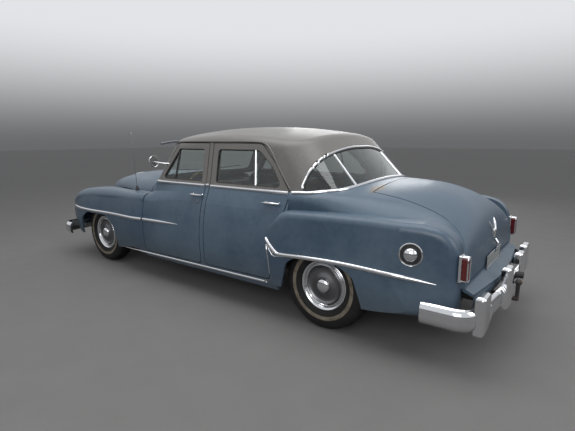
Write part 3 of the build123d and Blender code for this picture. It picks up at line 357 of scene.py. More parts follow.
PREFIX_FINISH = {"glass": GLASS, "handle": CHROME, "tyre": RUBBER, "wheel": BRUSHED, "door": DOOR}


def dress_nodes():
    """A material on every CAD node."""
    for name, piece in NODES.items():
        piece.data.materials.clear()
        piece.data.materials.append(NODE_FINISH.get(name) or PREFIX_FINISH[name.split("_")[0]])


# Meshes

SHARP_ANGLE = radians(35)


def placed(name, data):
    """A new object in the scene."""
    thing = bpy.data.objects.new(name, data)
    SCENE.collection.objects.link(thing)
    return thing


def shade_smooth(mesh):
    mesh.polygons.foreach_set("use_smooth", [True] * len(mesh.polygons))


def new_piece(name, verts, faces, finish, body, slot=None):
    """A mesh piece with its material, riding on a body; its slot, its finish's own or a given one, is only
    looked up, not kept.
    """
    mesh = bpy.data.meshes.new(name)
    mesh.from_pydata([tuple(v) for v in verts], [], faces)
    mesh.validate()
    work = bmesh.new()
    work.from_mesh(mesh)
    bmesh.ops.recalc_face_normals(work, faces=work.faces)
    work.to_mesh(mesh)
    work.free()
    shade_smooth(mesh)
    mesh.set_sharp_from_angle(angle=SHARP_ANGLE)
    mesh.materials.append(finish)
    piece = placed(name, mesh)
    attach(piece, body)
    slot or SLOT_OF[finish.name]
    return piece


def applied(piece):
    """Works a piece's modifiers into its mesh."""
    graph = bpy.context.evaluated_depsgraph_get()
    mesh = bpy.data.meshes.new_from_object(piece.evaluated_get(graph))
    piece.modifiers.clear()
    piece.data = mesh


def thicken(piece, thickness, offset=-1.0):
    """Gives a sheet its thickness."""
    shell = piece.modifiers.new("thickness", "SOLIDIFY")
    shell.thickness = thickness
    shell.offset = offset
    applied(piece)


class Skin:
    """The outer faces of some nodes, to lay trim on. Rays give the point and the normal met, or None."""

    def __init__(self, *names):
        verts, faces = [], []
        for name in names:
            mesh = NODES[name].data
            first = len(verts)
            verts += [v.co.copy() for v in mesh.vertices]
            faces += [[first + i for i in p.vertices] for p in mesh.polygons]
        self.tree = BVHTree.FromPolygons(verts, faces)

    def met(self, start, way):
        point, normal, _, _ = self.tree.ray_cast(Vector(start), Vector(way))
        return None if point is None else (point, normal)

    def side(self, x, z, sign):
        return self.met((x, sign * 1.5, z), (0, -sign, 0))

    def top(self, x, y):
        return self.met((x, y, 2.5), (0, 0, -1))

    def front(self, y, z):
        return self.met((3, y, z), (-1, 0, 0))

    def behind(self, y, z):
        return self.met((-4, y, z), (1, 0, 0))


# Middle of the round rear half of the cabin, along the body
CABIN_X = -0.75
# Angles about that middle at which the belt moulding of the rear window ends
BELT_ENDS = radians(112.4), radians(247.6)
REAR_BODY = Skin("rear_body")


def steps(low, high, count):
    """Evenly spread values, both ends included."""
    return [low + (high - low) * i / (count - 1) for i in range(count)]


def half_round(width, height, parts=8):
    """Section of a moulding as (across, out) points, sunk a little into what it lies on."""
    sunk = -0.004
    arc = [(-width / 2 * cos(pi * i / parts), height * sin(pi * i / parts)) for i in range(parts + 1)]
    return [(-width / 2, sunk)] + arc + [(width / 2, sunk)]


def grid_faces(rows, columns, rows_close=False, columns_close=False):
    """Quads of a grid of vertices, whose last row or column may meet the first."""
    faces = []
    for i in range(rows if rows_close else rows - 1):
        n = (i + 1) % rows
        for j in range(columns if columns_close else columns - 1):
            k = (j + 1) % columns
            faces.append((i * columns + j, i * columns + k, n * columns + k, n * columns + j))
    return faces


def bar_faces(count, ring, closed):
    """Faces of a bar with its two ends, or of one that closes on itself."""
    faces = grid_faces(count, ring, closed, True)
    if not closed:
        faces.append(tuple(range(ring)))
        faces.append(tuple((count - 1) * ring + j for j in reversed(range(ring))))
    return faces


def sweep(path, section, scales=None, closed=False):
    """Vertices and faces of a section carried along (point, normal) pairs."""
    verts = []
    count = len(path)
    for i, (point, normal) in enumerate(path):
        before = path[i - 1][0] if i or closed else point
        after = path[(i + 1) % count][0] if i < count - 1 or closed else point
        along = (after - before).normalized()
        across = normal.cross(along).normalized()
        out = along.cross(across).normalized()
        scale = scales[i] if scales else 1.0
        for a, h in section:
            verts.append(point + across * a * scale + out * h * (scale if h > 0 else 1.0))
    return verts, bar_faces(count, len(section), closed)


def smooth_line(points, parts=10):
    """Catmull-Rom line through a few chosen points."""
    vectors = [Vector(p) for p in points]
    vectors = [vectors[0] * 2 - vectors[1]] + vectors + [vectors[-1] * 2 - vectors[-2]]
    line = []
    for p0, p1, p2, p3 in zip(vectors, vectors[1:], vectors[2:], vectors[3:]):
        for i in range(parts):
            t = i / parts
            line.append(0.5 * (2 * p1 + (p2 - p0) * t + (2 * p0 - 5 * p1 + 4 * p2 - p3) * t * t
                               + (3 * p1 - p0 - 3 * p2 + p3) * t * t * t))
    line.append(vectors[-2])
    return line


def taper_ends(count, first=None, last=None):
    """Scale along a moulding that comes to a point over a share of its length."""
    scales = []
    for i in range(count):
        t = i / (count - 1)
        scale = 1.0
        if first and t < first:
            scale = max(0.12, (t / first) ** 0.6)
        if last and t > 1 - last:
            scale = max(0.12, ((1 - t) / last) ** 0.6)
        scales.append(scale)
    return scales


def bead(name, hits, width, height, finish=CHROME, body="root", taper=(), closed=False, slot=None):
    """Moulding along the points that rays met, tapered over a share of its start and end."""
    path = [hit for hit in hits if hit]
    verts, faces = sweep(path, half_round(width, height), taper_ends(len(path), *taper), closed)
    return new_piece(name, verts, faces, finish, body, slot)


def lay_on_side(name, skin, points, width, height, body, sign, taper, finish=CHROME, parts=10):
    """Moulding on the body side through chosen (x, z) points."""
    hits = [skin.side(p.x, p.y, sign) for p in smooth_line([(x, z, 0) for x, z in points], parts)]
    return bead(name, hits, width, height, finish, body, taper, slot="chrome")


def tube(name, points, radius, finish=CHROME, body="root", sides=12, parts=8, scales=None, closed=False,
         flat=1.0):
    """Round or flattened bar along a smooth line through chosen points."""
    line = [Vector(p) for p in points]
    if len(line) > 2 and not closed:
        line = smooth_line(line, parts)
    count = len(line)
    angles = [2 * pi * i / sides for i in range(sides)]
    section = [(radius * cos(a), radius * flat * sin(a)) for a in angles]
    verts = []
    for i, p in enumerate(line):
        after = line[(i + 1) % count if closed else min(i + 1, count - 1)]
        before = line[i - 1 if closed or i else 0]
        along = (after - before).normalized()
        across = along.cross(Vector((0, 0, 1)))
        across = across.normalized() if across.length > 1e-6 else Vector((0, 1, 0))
        normal = across.cross(along).normalized()
        scale = scales[i] if scales else 1.0
        verts += [p + across * a * scale + normal * h * scale for a, h in section]
    return new_piece(name, verts, bar_faces(count, sides, closed), finish, body)


def turned(name, centre, way, profile, finish=CHROME, body="root", segments=48, side=None):
    """Form turned about any direction; profile is (along, radius)."""
    way = Vector(way).normalized()
    side = Vector(side) if side else way.orthogonal().normalized()
    other = way.cross(side)
    verts = []
    for i in range(segments):
        a = 2 * pi * i / segments
        spoke = side * cos(a) + other * sin(a)
        verts += [Vector(centre) + way * along + spoke * radius for along, radius in profile]
    piece = new_piece(name, verts, grid_faces(segments, len(profile), True), finish, body)
    merge(piece)
    return piece


def rounded_outline(width, height, corner, count, inset=0.0):
    """Points (x, y) round a rectangle with rounded corners, their arcs drawn in by an inset."""
    a, b, r = width / 2 - corner, height / 2 - corner, corner - inset
    points = []
    for quarter, (x, y) in enumerate(((a, b), (-a, b), (-a, -b), (a, -b))):
        for i in range(count):
            angle = (quarter + i / (count - 1)) * pi / 2
            points.append((x + r * cos(angle), y + r * sin(angle)))
    return points


def merge(piece, distance=0.00002):
    """Joins vertices that lie on each other, such as the poles of a turned form."""
    work = bmesh.new()
    work.from_mesh(piece.data)
    bmesh.ops.remove_doubles(work, verts=work.verts, dist=distance)
    bmesh.ops.dissolve_degenerate(work, edges=work.edges, dist=distance / 2)
    bmesh.ops.recalc_face_normals(work, faces=work.faces)
    work.to_mesh(piece.data)
    work.free()


# Camera, floor and light

def camera():
    """The photograph's camera."""
    data = bpy.data.cameras.new("camera")
    data.sensor_width = SENSOR
    data.lens = FOCAL_PIXELS * SENSOR / IMAGE_WIDTH
    look = Vector((cos(PITCH) * cos(YAW), cos(PITCH) * sin(YAW), sin(PITCH)))
    right = look.cross(Vector((0, 0, 1))).normalized()
    up = right.cross(look)
    across = cos(ROLL) * right + sin(ROLL) * up
    rise = cos(ROLL) * up - sin(ROLL) * right
    eye = placed("camera", data)
    turn = Matrix((across, rise, -look)).transposed().to_4x4()
    eye.matrix_world = Matrix.Translation(EYE) @ turn
    SCENE.camera = eye


def floor():
    """Grey floor whose far edge meets the backdrop's lowest tone."""
    reach = 60
    mesh = bpy.data.meshes.new("floor")
    corners = [(-reach, -reach, 0), (reach, -reach, 0), (reach, reach, 0), (-reach, reach, 0)]
    mesh.from_pydata(corners, [], [(0, 1, 2, 3)])
    finish = Finish("floor_finish", Roughness=0.85)
    grain = finish.noise(3, 4, 0.6)
    grit = finish.ease(finish.noise(160, 3, 0.7), 0.35, 0.7)
    finish.set("Base Color", finish.mix(grain * 0.4 + grit * 0.3, rgb(118, 117, 116), rgb(92, 91, 90)))
    mesh.materials.append(finish.material)
    ground = placed("floor", mesh)


# Soft lamps: name, place, what they point at, size and power
LAMPS = (
    ("overhead", (-0.5, 1.0, 6.0), (0, 0, 0.6), (7.0, 4.0), 250),
    ("side", (-3.5, 6.5, 3.4), (0, 0, 0.7), (4.0, 3.0), 150),
    ("rear", (-7.0, 0.5, 3.6), (-1, 0, 0.7), (3.0, 3.0), 80),
    ("far_side", (2.0, -6.5, 3.4), (0, 0, 0.7), (4.0, 3.0), 100),
)


def lamp(name, place, aim, size, power):
    """Large soft lamp pointed at a place."""
    data = bpy.data.lights.new(name, "AREA")
    data.shape = "RECTANGLE"
    data.size, data.size_y = size
    data.energy = power
    light = placed(name, data)
    way = (Vector(aim) - Vector(place)).normalized()
    light.matrix_world = Matrix.Translation(place) @ way.to_track_quat("-Z", "Y").to_matrix().to_4x4()


def surroundings():
    """Even world light, a backdrop that darkens towards the floor, and soft lamps."""
    world = bpy.data.worlds.new("studio")
    SCENE.world = world
    world.use_nodes = True
    tree = world.node_tree

    def node(kind, inputs, output=0, **settings):
        made = tree.nodes.new(kind)
        for name, value in settings.items():
            setattr(made, name, value)
        for name, value in inputs.items():
            if isinstance(value, bpy.types.NodeSocket):
                tree.links.new(value, made.inputs[name])
            else:
                made.inputs[name].default_value = value
        return made.outputs[output]

    rays = tree.nodes.new("ShaderNodeLightPath").outputs
    seen = rays["Is Camera Ray"]
    for kind in ("Is Transmission Ray", "Is Glossy Ray"):
        seen = node("ShaderNodeMath", {0: seen, 1: rays[kind]}, operation="MAXIMUM")
    way = tree.nodes.new("ShaderNodeTexCoord").outputs["Generated"]
    up = node("ShaderNodeSeparateXYZ", {"Vector": way}, "Z")
    rise = node("ShaderNodeMapRange", {"Value": up, "From Min": -0.02, "From Max": 0.24},
                interpolation_type="SMOOTHSTEP")
    shade = node("ShaderNodeMix", {0: rise, 6: rgb(104, 105, 107), 7: rgb(226, 228, 231)}, 2,
                 data_type="RGBA")
    even = node("ShaderNodeBackground", {"Color": rgb(206, 208, 211), "Strength": 0.6})
    drop = node("ShaderNodeBackground", {"Color": shade, "Strength": 1.0})
    both = node("ShaderNodeMixShader", {0: seen, 1: even, 2: drop})
    tree.links.new(both, tree.nodes["World Output"].inputs["Surface"])
    for row in LAMPS:
        lamp(*row)


# Wheels

TYRE_PROFILE = [
    (-0.058, 0.192), (-0.060, 0.204), (-0.074, 0.207), (-0.086, 0.222), (-0.093, 0.243),
    (-0.0965, 0.262), (-0.0955, 0.282), (-0.092, 0.305), (-0.085, 0.326), (-0.076, 0.342),
    (-0.067, 0.350),
]
TREAD_HALF, GROOVE_DEPTH, RIBS, ZIGZAG = 0.064, 0.009, 5, 0.0035
TYRE_SEGMENTS, TYRE_WAVES = 216, 54


def tyre_section():
    """(across, radius, wave) points of half wall, grooved tread and half wall."""
    section = [(y, r, 0) for y, r in TYRE_PROFILE]
    rib = 2 * TREAD_HALF / RIBS
    groove = rib * 0.26
    for i in range(RIBS):
        left = -TREAD_HALF + i * rib
        right = left + rib
        for y, deep in ((left + groove / 2, 0), (right - groove / 2, 0),
                        (right - groove / 4, 1), (right + groove / 4, 1)):
            if i == RIBS - 1 and y > right - groove / 2:
                continue
            crown = TYRE_R - 0.0085 * (y / TREAD_HALF) ** 2 - 0.0004
            section.append((y, crown - deep * GROOVE_DEPTH, abs(y) < TREAD_HALF - rib / 2))
    return section + [(-y, r, 0) for y, r in reversed(TYRE_PROFILE)]


def tyre(end, side):
    """Tyre with rounded walls and five zigzag ribs."""
    node = f"tyre_{end}_{side}"
    low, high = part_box(node)
    x, y = (low.x + high.x) / 2, (low.y + high.y) / 2
    section = tyre_section()
    verts = []
    for i in range(TYRE_SEGMENTS):
        a = 2 * pi * i / TYRE_SEGMENTS
        phase = (i * TYRE_WAVES / TYRE_SEGMENTS) % 1
        shift = ZIGZAG * (4 * abs(phase - 0.5) - 1)
        for across, radius, wave in section:
            spot = (x + radius * cos(a), y + across + shift * wave, TYRE_R + radius * sin(a))
            verts.append(spot)
    faces = grid_faces(TYRE_SEGMENTS, len(section), True, True)
    piece = new_piece(f"tread_tyre_{end}_{side}", verts, faces, RUBBER, f"wheel_{end}_{side}")
    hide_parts(node)


# Bright parts of a wheel, as (out from the wheel's middle plane, radius)
WHEEL_TRIM = {"trim_ring": (CHROME, [
    (0.060, 0.2035), (0.069, 0.2045), (0.074, 0.201), (0.0755, 0.197), (0.073, 0.189),
    (0.066, 0.181), (0.060, 0.176), (0.061, 0.171), (0.066, 0.167), (0.067, 0.163), (0.062, 0.158),
]), "wheel_cap": (BRUSHED, [
    (0.050, 0.160), (0.058, 0.157), (0.064, 0.153), (0.066, 0.149), (0.063, 0.144), (0.057, 0.138),
    (0.054, 0.125), (0.055, 0.108), (0.060, 0.090), (0.066, 0.074), (0.068, 0.066), (0.066, 0.062),
]), "cap_dome": (CHROME, [
    (0.060, 0.063), (0.074, 0.061), (0.084, 0.055), (0.091, 0.045), (0.096, 0.032), (0.0985, 0.018),
    (0.0995, 0.0),
])}


def wheel_trim(end, side, sign):
    """Bright ring, dished cap and dome of one wheel."""
    body = f"wheel_{end}_{side}"
    low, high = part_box(body)
    inner, outer = (corner.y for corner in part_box(f"tyre_{end}_left"))
    middle = ((low.x + high.x) / 2, sign * (inner + outer) / 2, TYRE_R)
    for name, (finish, profile) in WHEEL_TRIM.items():
        turned(f"{name}_{end}_{side}", middle, (0, sign, 0), profile, finish, body, 96, (1, 0, 0))


def wheels():
    for end in ("front", "rear"):
        for side, sign in SIDES:
            tyre(end, side)
            wheel_trim(end, side, sign)


# Mouldings of the body

def from_mm(points):
    """Points (x, z) along the body in the frame's metres; x counts from the middle of the wheelbase."""
    return [(x / 1000 + SHIFT, z / 1000) for x, z in points]


# Trim of one side: name, skin nodes, points, width, height, body, tapered shares of its ends.
# A * in a name stands for the side.
SIDE_TRIM = [
    ("fender_spear", "front_fenders", [(2290, 633), (2060, 636), (1600, 640), (1100, 645), (646, 649)],
     0.034, 0.013, "root", (0.03,)),
    ("door_spear", "door_front_*", [(618, 650), (400, 654), (56, 660)],
     0.034, 0.013, "door_front_*", (None, 0.45)),
    ("belt_front", "door_front_*", [(515, 1056), (300, 1056), (-250, 1056)],
     0.03, 0.012, "door_front_*", ()),
    ("belt_rear", "door_rear_*", [(-328, 1056), (-700, 1056), (-1235, 1056)],
     0.03, 0.012, "door_rear_*", ()),
    ("belt_post", "roof_and_pillars", [(-270, 1062), (-290, 1062), (-312, 1062)],
     0.03, 0.012, "root", ()),
    ("rocker", "sills_and_posts,front_fenders,rear_fenders",
     [(1100, 277), (600, 281), (0, 288), (-500, 294), (-1030, 300), (-1058, 305), (-1072, 322)],
     0.024, 0.011, "root", (0.02, 0.02)),
    ("guard_edge", "rear_fenders,sills_and_posts",
     [(-1097, 640), (-1108, 612), (-1117, 570), (-1121, 500), (-1119, 420), (-1116, 345)],
     0.012, 0.006, "root", (0.05, 0.05)),
    ("guard_lip", "rear_fenders,sills_and_posts",
     [(-1106, 662), (-1135, 630), (-1165, 585), (-1190, 560), (-1230, 560), (-1300, 566)],
     0.008, 0.005, "root", (0.1, 0.4)),
    ("quarter_spear", "rear_fenders,rear_body",
     [(-1097, 690), (-1128, 668), (-1170, 628), (-1215, 592), (-1262, 582), (-1500, 596), (-1800, 606),
      (-2150, 598), (-2478, 572)], 0.034, 0.014, "root", (0.02, 0.08)),
]


def side_trim(side, sign):
    """Belt, fender, rocker and quarter mouldings of one side."""
    for name, nodes, points, width, height, body, taper in SIDE_TRIM:
        skin = Skin(*nodes.replace("*", side).split(","))
        body = body.replace("*", side)
        lay_on_side(f"{name}_{side}", skin, from_mm(points), width, height, body, sign, taper)


# Drip rail over the doors, in mm
DRIP_RAIL = [(560, 1130), (455, 1270), (350, 1385), (240, 1446), (100, 1462), (-400, 1464), (-800, 1462),
             (-930, 1448), (-1010, 1392), (-1090, 1285), (-1180, 1170), (-1262, 1075)]


def drip_rail(side, sign):
    """Rain gutter over both doors, with a black strip of painted shadow under it."""
    skin = Skin("roof_and_pillars")
    line = from_mm(DRIP_RAIL)
    ends = (0.02, 0.02)
    lay_on_side(f"drip_rail_{side}", skin, line, 0.012, 0.009, "root", sign, ends, ROOF, 8)
    # Black strip just under the rail: painted shadow of the rail
    shadow_line = [(x - 0.001, z - 0.0085) for x, z in line]
    lay_on_side(f"drip_painted_shadow_{side}", skin, shadow_line, 0.008, 0.003, "root", sign, ends, SEAL, 8)


def shoulder(angle):
    """Inner upper edge of the rear body, at an angle about the cabin's rear half, and the way out."""
    out = Vector((cos(angle), sin(angle), 0))
    for i in range(100):
        spot = Vector((CABIN_X, 0, 0)) + out * (0.70 + 0.003 * i)
        met = REAR_BODY.top(spot.x, spot.y)
        if met and met[0].z > BELT_Z - 0.01:
            return met[0], out
    return None, out


def above_body(point):
    """Whether a point of the rear window's rim shows over the body."""
    edge, _ = shoulder(atan2(point.y, point.x - CABIN_X))
    return edge is None or point.z > edge.z + 0.012


def rear_belt():
    """Bright moulding from one rear door along the foot of the rear window to the other."""
    count = 240
    places = []
    for i, angle in enumerate(steps(*BELT_ENDS, count + 1)):
        edge, out = shoulder(angle)
        reach = 0.009 + 0.014 * (1 - eased(min(i, count - i) / count, 0.0, 0.05))
        met = edge and REAR_BODY.top(edge.x + out.x * reach, edge.y + out.y * reach)
        if met:
            places.append((met[0] + Vector((0, 0, 0.004)), (met[1] + out * 0.9).normalized()))
    path = []
    for i in range(len(places)):
        near = places[max(i - 3, 0):i + 4]
        spot = sum((point for point, _ in near), Vector()) / len(near)
        path.append((spot, sum((normal for _, normal in near), Vector()).normalized()))
    bead("belt_rear_window", path, 0.03, 0.014)


def rim_loop(node, outward):
    """Longest loop of sharp edges round a pane's outer face, as points in order."""
    work = bmesh.new()
    work.from_mesh(NODES[node].data)
    bmesh.ops.remove_doubles(work, verts=work.verts, dist=0.0001)
    sharp = [e for e in work.edges if len(e.link_faces) == 2 and e.calc_face_angle(0) > radians(50)
             and max(f.normal.dot(outward(e.verts[0].co)) for f in e.link_faces) > 0.5]
    near = {}
    for edge in sharp:
        for v in edge.verts:
            near.setdefault(v.index, []).append(edge)
    loops, used = [], set()
    for edge in sharp:
        if edge.index in used:
            continue
        used.add(edge.index)
        loop = [edge.verts[0], edge.verts[1]]
        while True:
            onward = [e for e in near[loop[-1].index] if e.index not in used]
            if not onward:
                break
            used.add(onward[0].index)
            loop.append(onward[0].other_vert(loop[-1]))
        loops.append([v.co.copy() for v in loop[:-1]])
    work.free()
    return max(loops, key=lambda line: sum((q - p).length for p, q in zip(line, line[1:])))


def evenly(line, spacing, closed=True):
    """Points a set distance apart along a line."""
    points = line + [line[0]] if closed else line
    reach = [0.0]
    for p, q in zip(points, points[1:]):
        reach.append(reach[-1] + (q - p).length)
    count = max(4, round(reach[-1] / spacing))
    result, k = [], 0
    for i in range(count if closed else count + 1):
        want = reach[-1] * i / count
        while k < len(points) - 2 and reach[k + 1] < want:
            k += 1
        step = max(reach[k + 1] - reach[k], 1e-9)
        result.append(points[k].lerp(points[k + 1], min(1.0, (want - reach[k]) / step)))
    return result


def outward_from(centre):
    """Direction away from an upright line through a point, and a little up."""
    def outward(point):
        away = (point - Vector((*centre, point.z))).normalized()
        return (away + Vector((0, 0, 0.6))).normalized()
    return outward


def frame_glass(name, node, outward, width, height, finish, body="root", keep=None):
    """Bead round a pane's outer rim, or along the part of it that shows."""
    tree = Skin(node).tree
    rim = evenly(rim_loop(node, outward), 0.012)
    if keep:
        shown = [keep(p) for p in rim]
        runs = []
        for start in range(len(rim)):
            if shown[start] and not shown[start - 1]:
                run = [rim[start]]
                while shown[(start + len(run)) % len(rim)]:
                    run.append(rim[(start + len(run)) % len(rim)])
                runs.append(run)
        rim = max(runs, key=len)
    path = []
    for p in rim:
        spot, normal, _, _ = tree.find_nearest(p + outward(p) * 0.02)
        if normal.dot(outward(p)) < 0:
            normal = -normal
        path.append((spot, normal))
    return bead(name, path, width, height, finish, body, closed=not keep)


# Foot and head of the divider bars of the side windows, along the body in mm from mid-wheelbase
DIVIDERS = {"front": (205, 172), "rear": (-868, -832)}


def windows():
    """Rubber and bright beads round the glass, and the divider bars."""
    for side, sign in SIDES:
        way = Vector((0, sign, 0.15)).normalized()
        for end, divider in DIVIDERS.items():
            body, node = f"door_{end}_{side}", f"glass_{end}_{side}"
            frame_glass(f"window_seal_{end}_{side}", node, lambda p: way, 0.022, 0.011, SEAL, body)
            skin = Skin(node)
            low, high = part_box(node)
            foot, head = [x / 1000 + SHIFT for x in divider]
            line = zip(steps(foot, head, 13), steps(low.z + 0.004, high.z - 0.004, 13))
            hits = [skin.side(x, z, sign) for x, z in line]
            finish = SEAL if end == "front" else CHROME
            bead(f"window_divider_{end}_{side}", hits, 0.02, 0.012, finish, body, slot="chrome")
    ahead = Vector((1, 0, 0.4)).normalized()
    frame_glass("windshield_seal", "windshield", lambda p: ahead, 0.03, 0.012, SEAL)
    frame_glass("windshield_trim", "windshield", lambda p: ahead, 0.014, 0.018, STAINLESS)
    rear = outward_from((CABIN_X, 0))
    frame_glass("backlight_seal", "backlight", rear, 0.042, 0.009, SEAL, keep=above_body)
    frame_glass("backlight_trim", "backlight", rear, 0.026, 0.017, CHROME, keep=above_body)
    glass_bars()


# Foot and top of the left bar of the rear window
REAR_BAR = ((-1.712 + SHIFT, 0.484, 1.12), (-1.431 + SHIFT, 0.454, 1.409))


def glass_bars():
    """Upright bars of the windshield and of the three-piece rear window."""
    low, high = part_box("windshield")
    skin = Skin("windshield")
    hits = [skin.front(0, z) for z in steps(low.z + 0.005, high.z - 0.005, 15)]
    bead("windshield_bar", hits, 0.022, 0.014, STAINLESS)
    skin = Skin("backlight")
    for side, sign in SIDES:
        foot, top = (Vector((x, sign * y, z)) for x, y, z in REAR_BAR)
        way = Vector((1, -sign * 0.15, 0))
        hits = [skin.met(foot.lerp(top, t) - way, way) for t in steps(0, 1, 17)]
        bead(f"backlight_bar_{side}", hits, 0.022, 0.014)


FILLER_PLACE = (-2.313 + SHIFT, 0.751)
FILLER_RING = [(-0.004, 0.078), (0.004, 0.078), (0.007, 0.074), (0.006, 0.069), (0.001, 0.067),
               (-0.004, 0.066)]
# Flat black disc round the cap: painted shade of the filler's recess
FILLER_SHADE_DISC = [(0.0005, 0.068), (0.0012, 0.03), (0.0012, 0)]
FILLER_CAP = [(0.001, 0.047), (0.016, 0.046), (0.026, 0.04), (0.034, 0.028), (0.038, 0.014), (0.039, 0)]


def fuel_filler():
    """Black disc of painted shade for the recess, bright ring and domed cap on the left rear fender."""
    point, normal = Skin("rear_fenders").side(*FILLER_PLACE, 1)
    turned("filler_ring", point, normal, FILLER_RING)
    turned("filler_painted_shade", point, normal, FILLER_SHADE_DISC, SEAL)
    piece = turned("filler_cap", point, normal, FILLER_CAP)
    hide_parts("fuel_cap")


AERIAL_FOOT, AERIAL_TOP = (0.912 + SHIFT, 0.76), (0.961 + SHIFT, 0.76, 1.554)
AERIAL_BASE = [(-0.002, 0.022), (0.012, 0.02), (0.03, 0.012), (0.05, 0.008), (0.055, 0.0)]
AERIAL_TIP = [(-0.005, 0), (-0.003, 0.004), (0, 0.005), (0.003, 0.004), (0.005, 0)]
# Rods of the aerial: start and stop as shares of its length, radius
AERIAL_RODS = ((0.05, 0.4, 0.0032), (0.4, 0.72, 0.0025), (0.72, 1, 0.0018))


def aerial():
    """Telescopic aerial on the left front fender."""
    point, _ = Skin("front_fenders").top(*AERIAL_FOOT)
    tip = Vector(AERIAL_TOP)
    turned("aerial_base", point, tip - point, AERIAL_BASE, SEAL)
    for i, (start, stop, radius) in enumerate(AERIAL_RODS):
        rod = [point.lerp(tip, start), point.lerp(tip, stop)]
        tube(f"aerial_rod_{i + 1}", rod, radius, BRUSHED)
    turned("aerial_tip", tip, (0, 0, 1), AERIAL_TIP, segments=16)


def hood_trim():
    """Bright strip and ornament down the middle of the hood."""
    skin = Skin("hood", "nose_panel")
    hits = [skin.top(x + SHIFT, 0.0) for x in steps(1.80, 2.22, 15)]
    bead("hood_strip", hits, 0.03, 0.012, CHROME, "hood", (0.3,))
    line = []
    for x, rise in zip(steps(1.84, 2.13, 9), steps(0.008, 0.038, 9)):
        spot, _ = skin.top(x + SHIFT, 0.0)
        line.append((spot.x, 0, spot.z + rise))
    scales = taper_ends((len(line) - 1) * 6 + 1, 0.6, 0.1)
    tube("hood_ornament", line, 0.015, CHROME, "hood", 16, 6, scales)


# Line of the trunk handle from its foot, as (x, z), and the turned form of the boss above it
TRUNK_HANDLE = ((-0.004, 0.02), (-0.03, 0.05), (-0.034, 0.09), (-0.012, 0.125))
TRUNK_BOSS = [(-0.004, 0.036), (0.004, 0.036), (0.009, 0.031), (0.012, 0.02), (0.013, 0)]


def rear_trim():
    """Handle and plain winged boss on the trunk lid."""
    skin = Skin("trunk_lid")
    hits = [skin.behind(0.0, 0.60 + i * 0.006) for i in range(20)]
    foot, _ = next(hit for hit in hits if hit)
    line = [foot + Vector((x, 0, z)) for x, z in TRUNK_HANDLE]
    tube("trunk_handle", line, 0.011, CHROME, "trunk_lid")
    point, normal = skin.behind(0.0, 0.768)
    turned("trunk_boss", point, normal, TRUNK_BOSS, CHROME, "trunk_lid")
    for side, sign in SIDES:
        arm = [skin.behind(sign * (0.012 + 0.085 * t), 0.745 + 0.13 * t) for t in steps(0, 1, 9)]
        bead(f"trunk_wing_{side}", arm, 0.02, 0.012, CHROME, "trunk_lid", (0.2, 0.3))


# Seats: name, depth, width, thickness, middle (x, z) in mm, lean in degrees, first pleat and last pleat
# along the depth, distance between pleats
SEATS = [
    ("front_seat_cushion", 0.53, 1.28, 0.18, (-155, 610), 0, 0.10, 0.50, 0.085),
    ("front_seat_back", 0.52, 1.28, 0.14, (-533.6, 814.3), 78, 0.09, 0.40, 0.085),
    ("rear_seat_cushion", 0.49, 1.16, 0.165, (-1045, 614.8), 0, 0.09, 0.46, 0.085),
    ("rear_seat_back", 0.345, 1.16, 0.11, (-1306, 858), 82, 0.07, 0.28, 0.085),
]
SWELL, SWELL_FRAMES, PRESSURE, VOXEL = 0.016, 20, 4.0, 0.012
# Depth and half width of the pleats and of the seams across their ends
PLEAT, SEAM = (0.009, 0.014), (0.008, 0.013)


def swell(piece, cap):
    """Fills a cushion by cloth simulation, no point moving further than the cap."""
    rest = [v.co.copy() for v in piece.data.vertices]
    filling = piece.modifiers.new("filling", "CLOTH")
    filling.settings.use_pressure = True
    filling.settings.uniform_pressure_force = PRESSURE
    filling.settings.effector_weights.gravity = 0.0
    filling.point_cache.frame_end = SWELL_FRAMES
    for frame_number in range(1, SWELL_FRAMES + 1):
        SCENE.frame_set(frame_number)
    applied(piece)
    SCENE.frame_set(1)
    for vertex, start in zip(piece.data.vertices, rest):
        move = vertex.co - start
        if move.length > cap:
            vertex.co = start + move.normalized() * cap


def eased(value, low, high):
    t = min(1.0, max(0.0, (value - low) / (high - low)))
    return t * t * (3 - 2 * t)


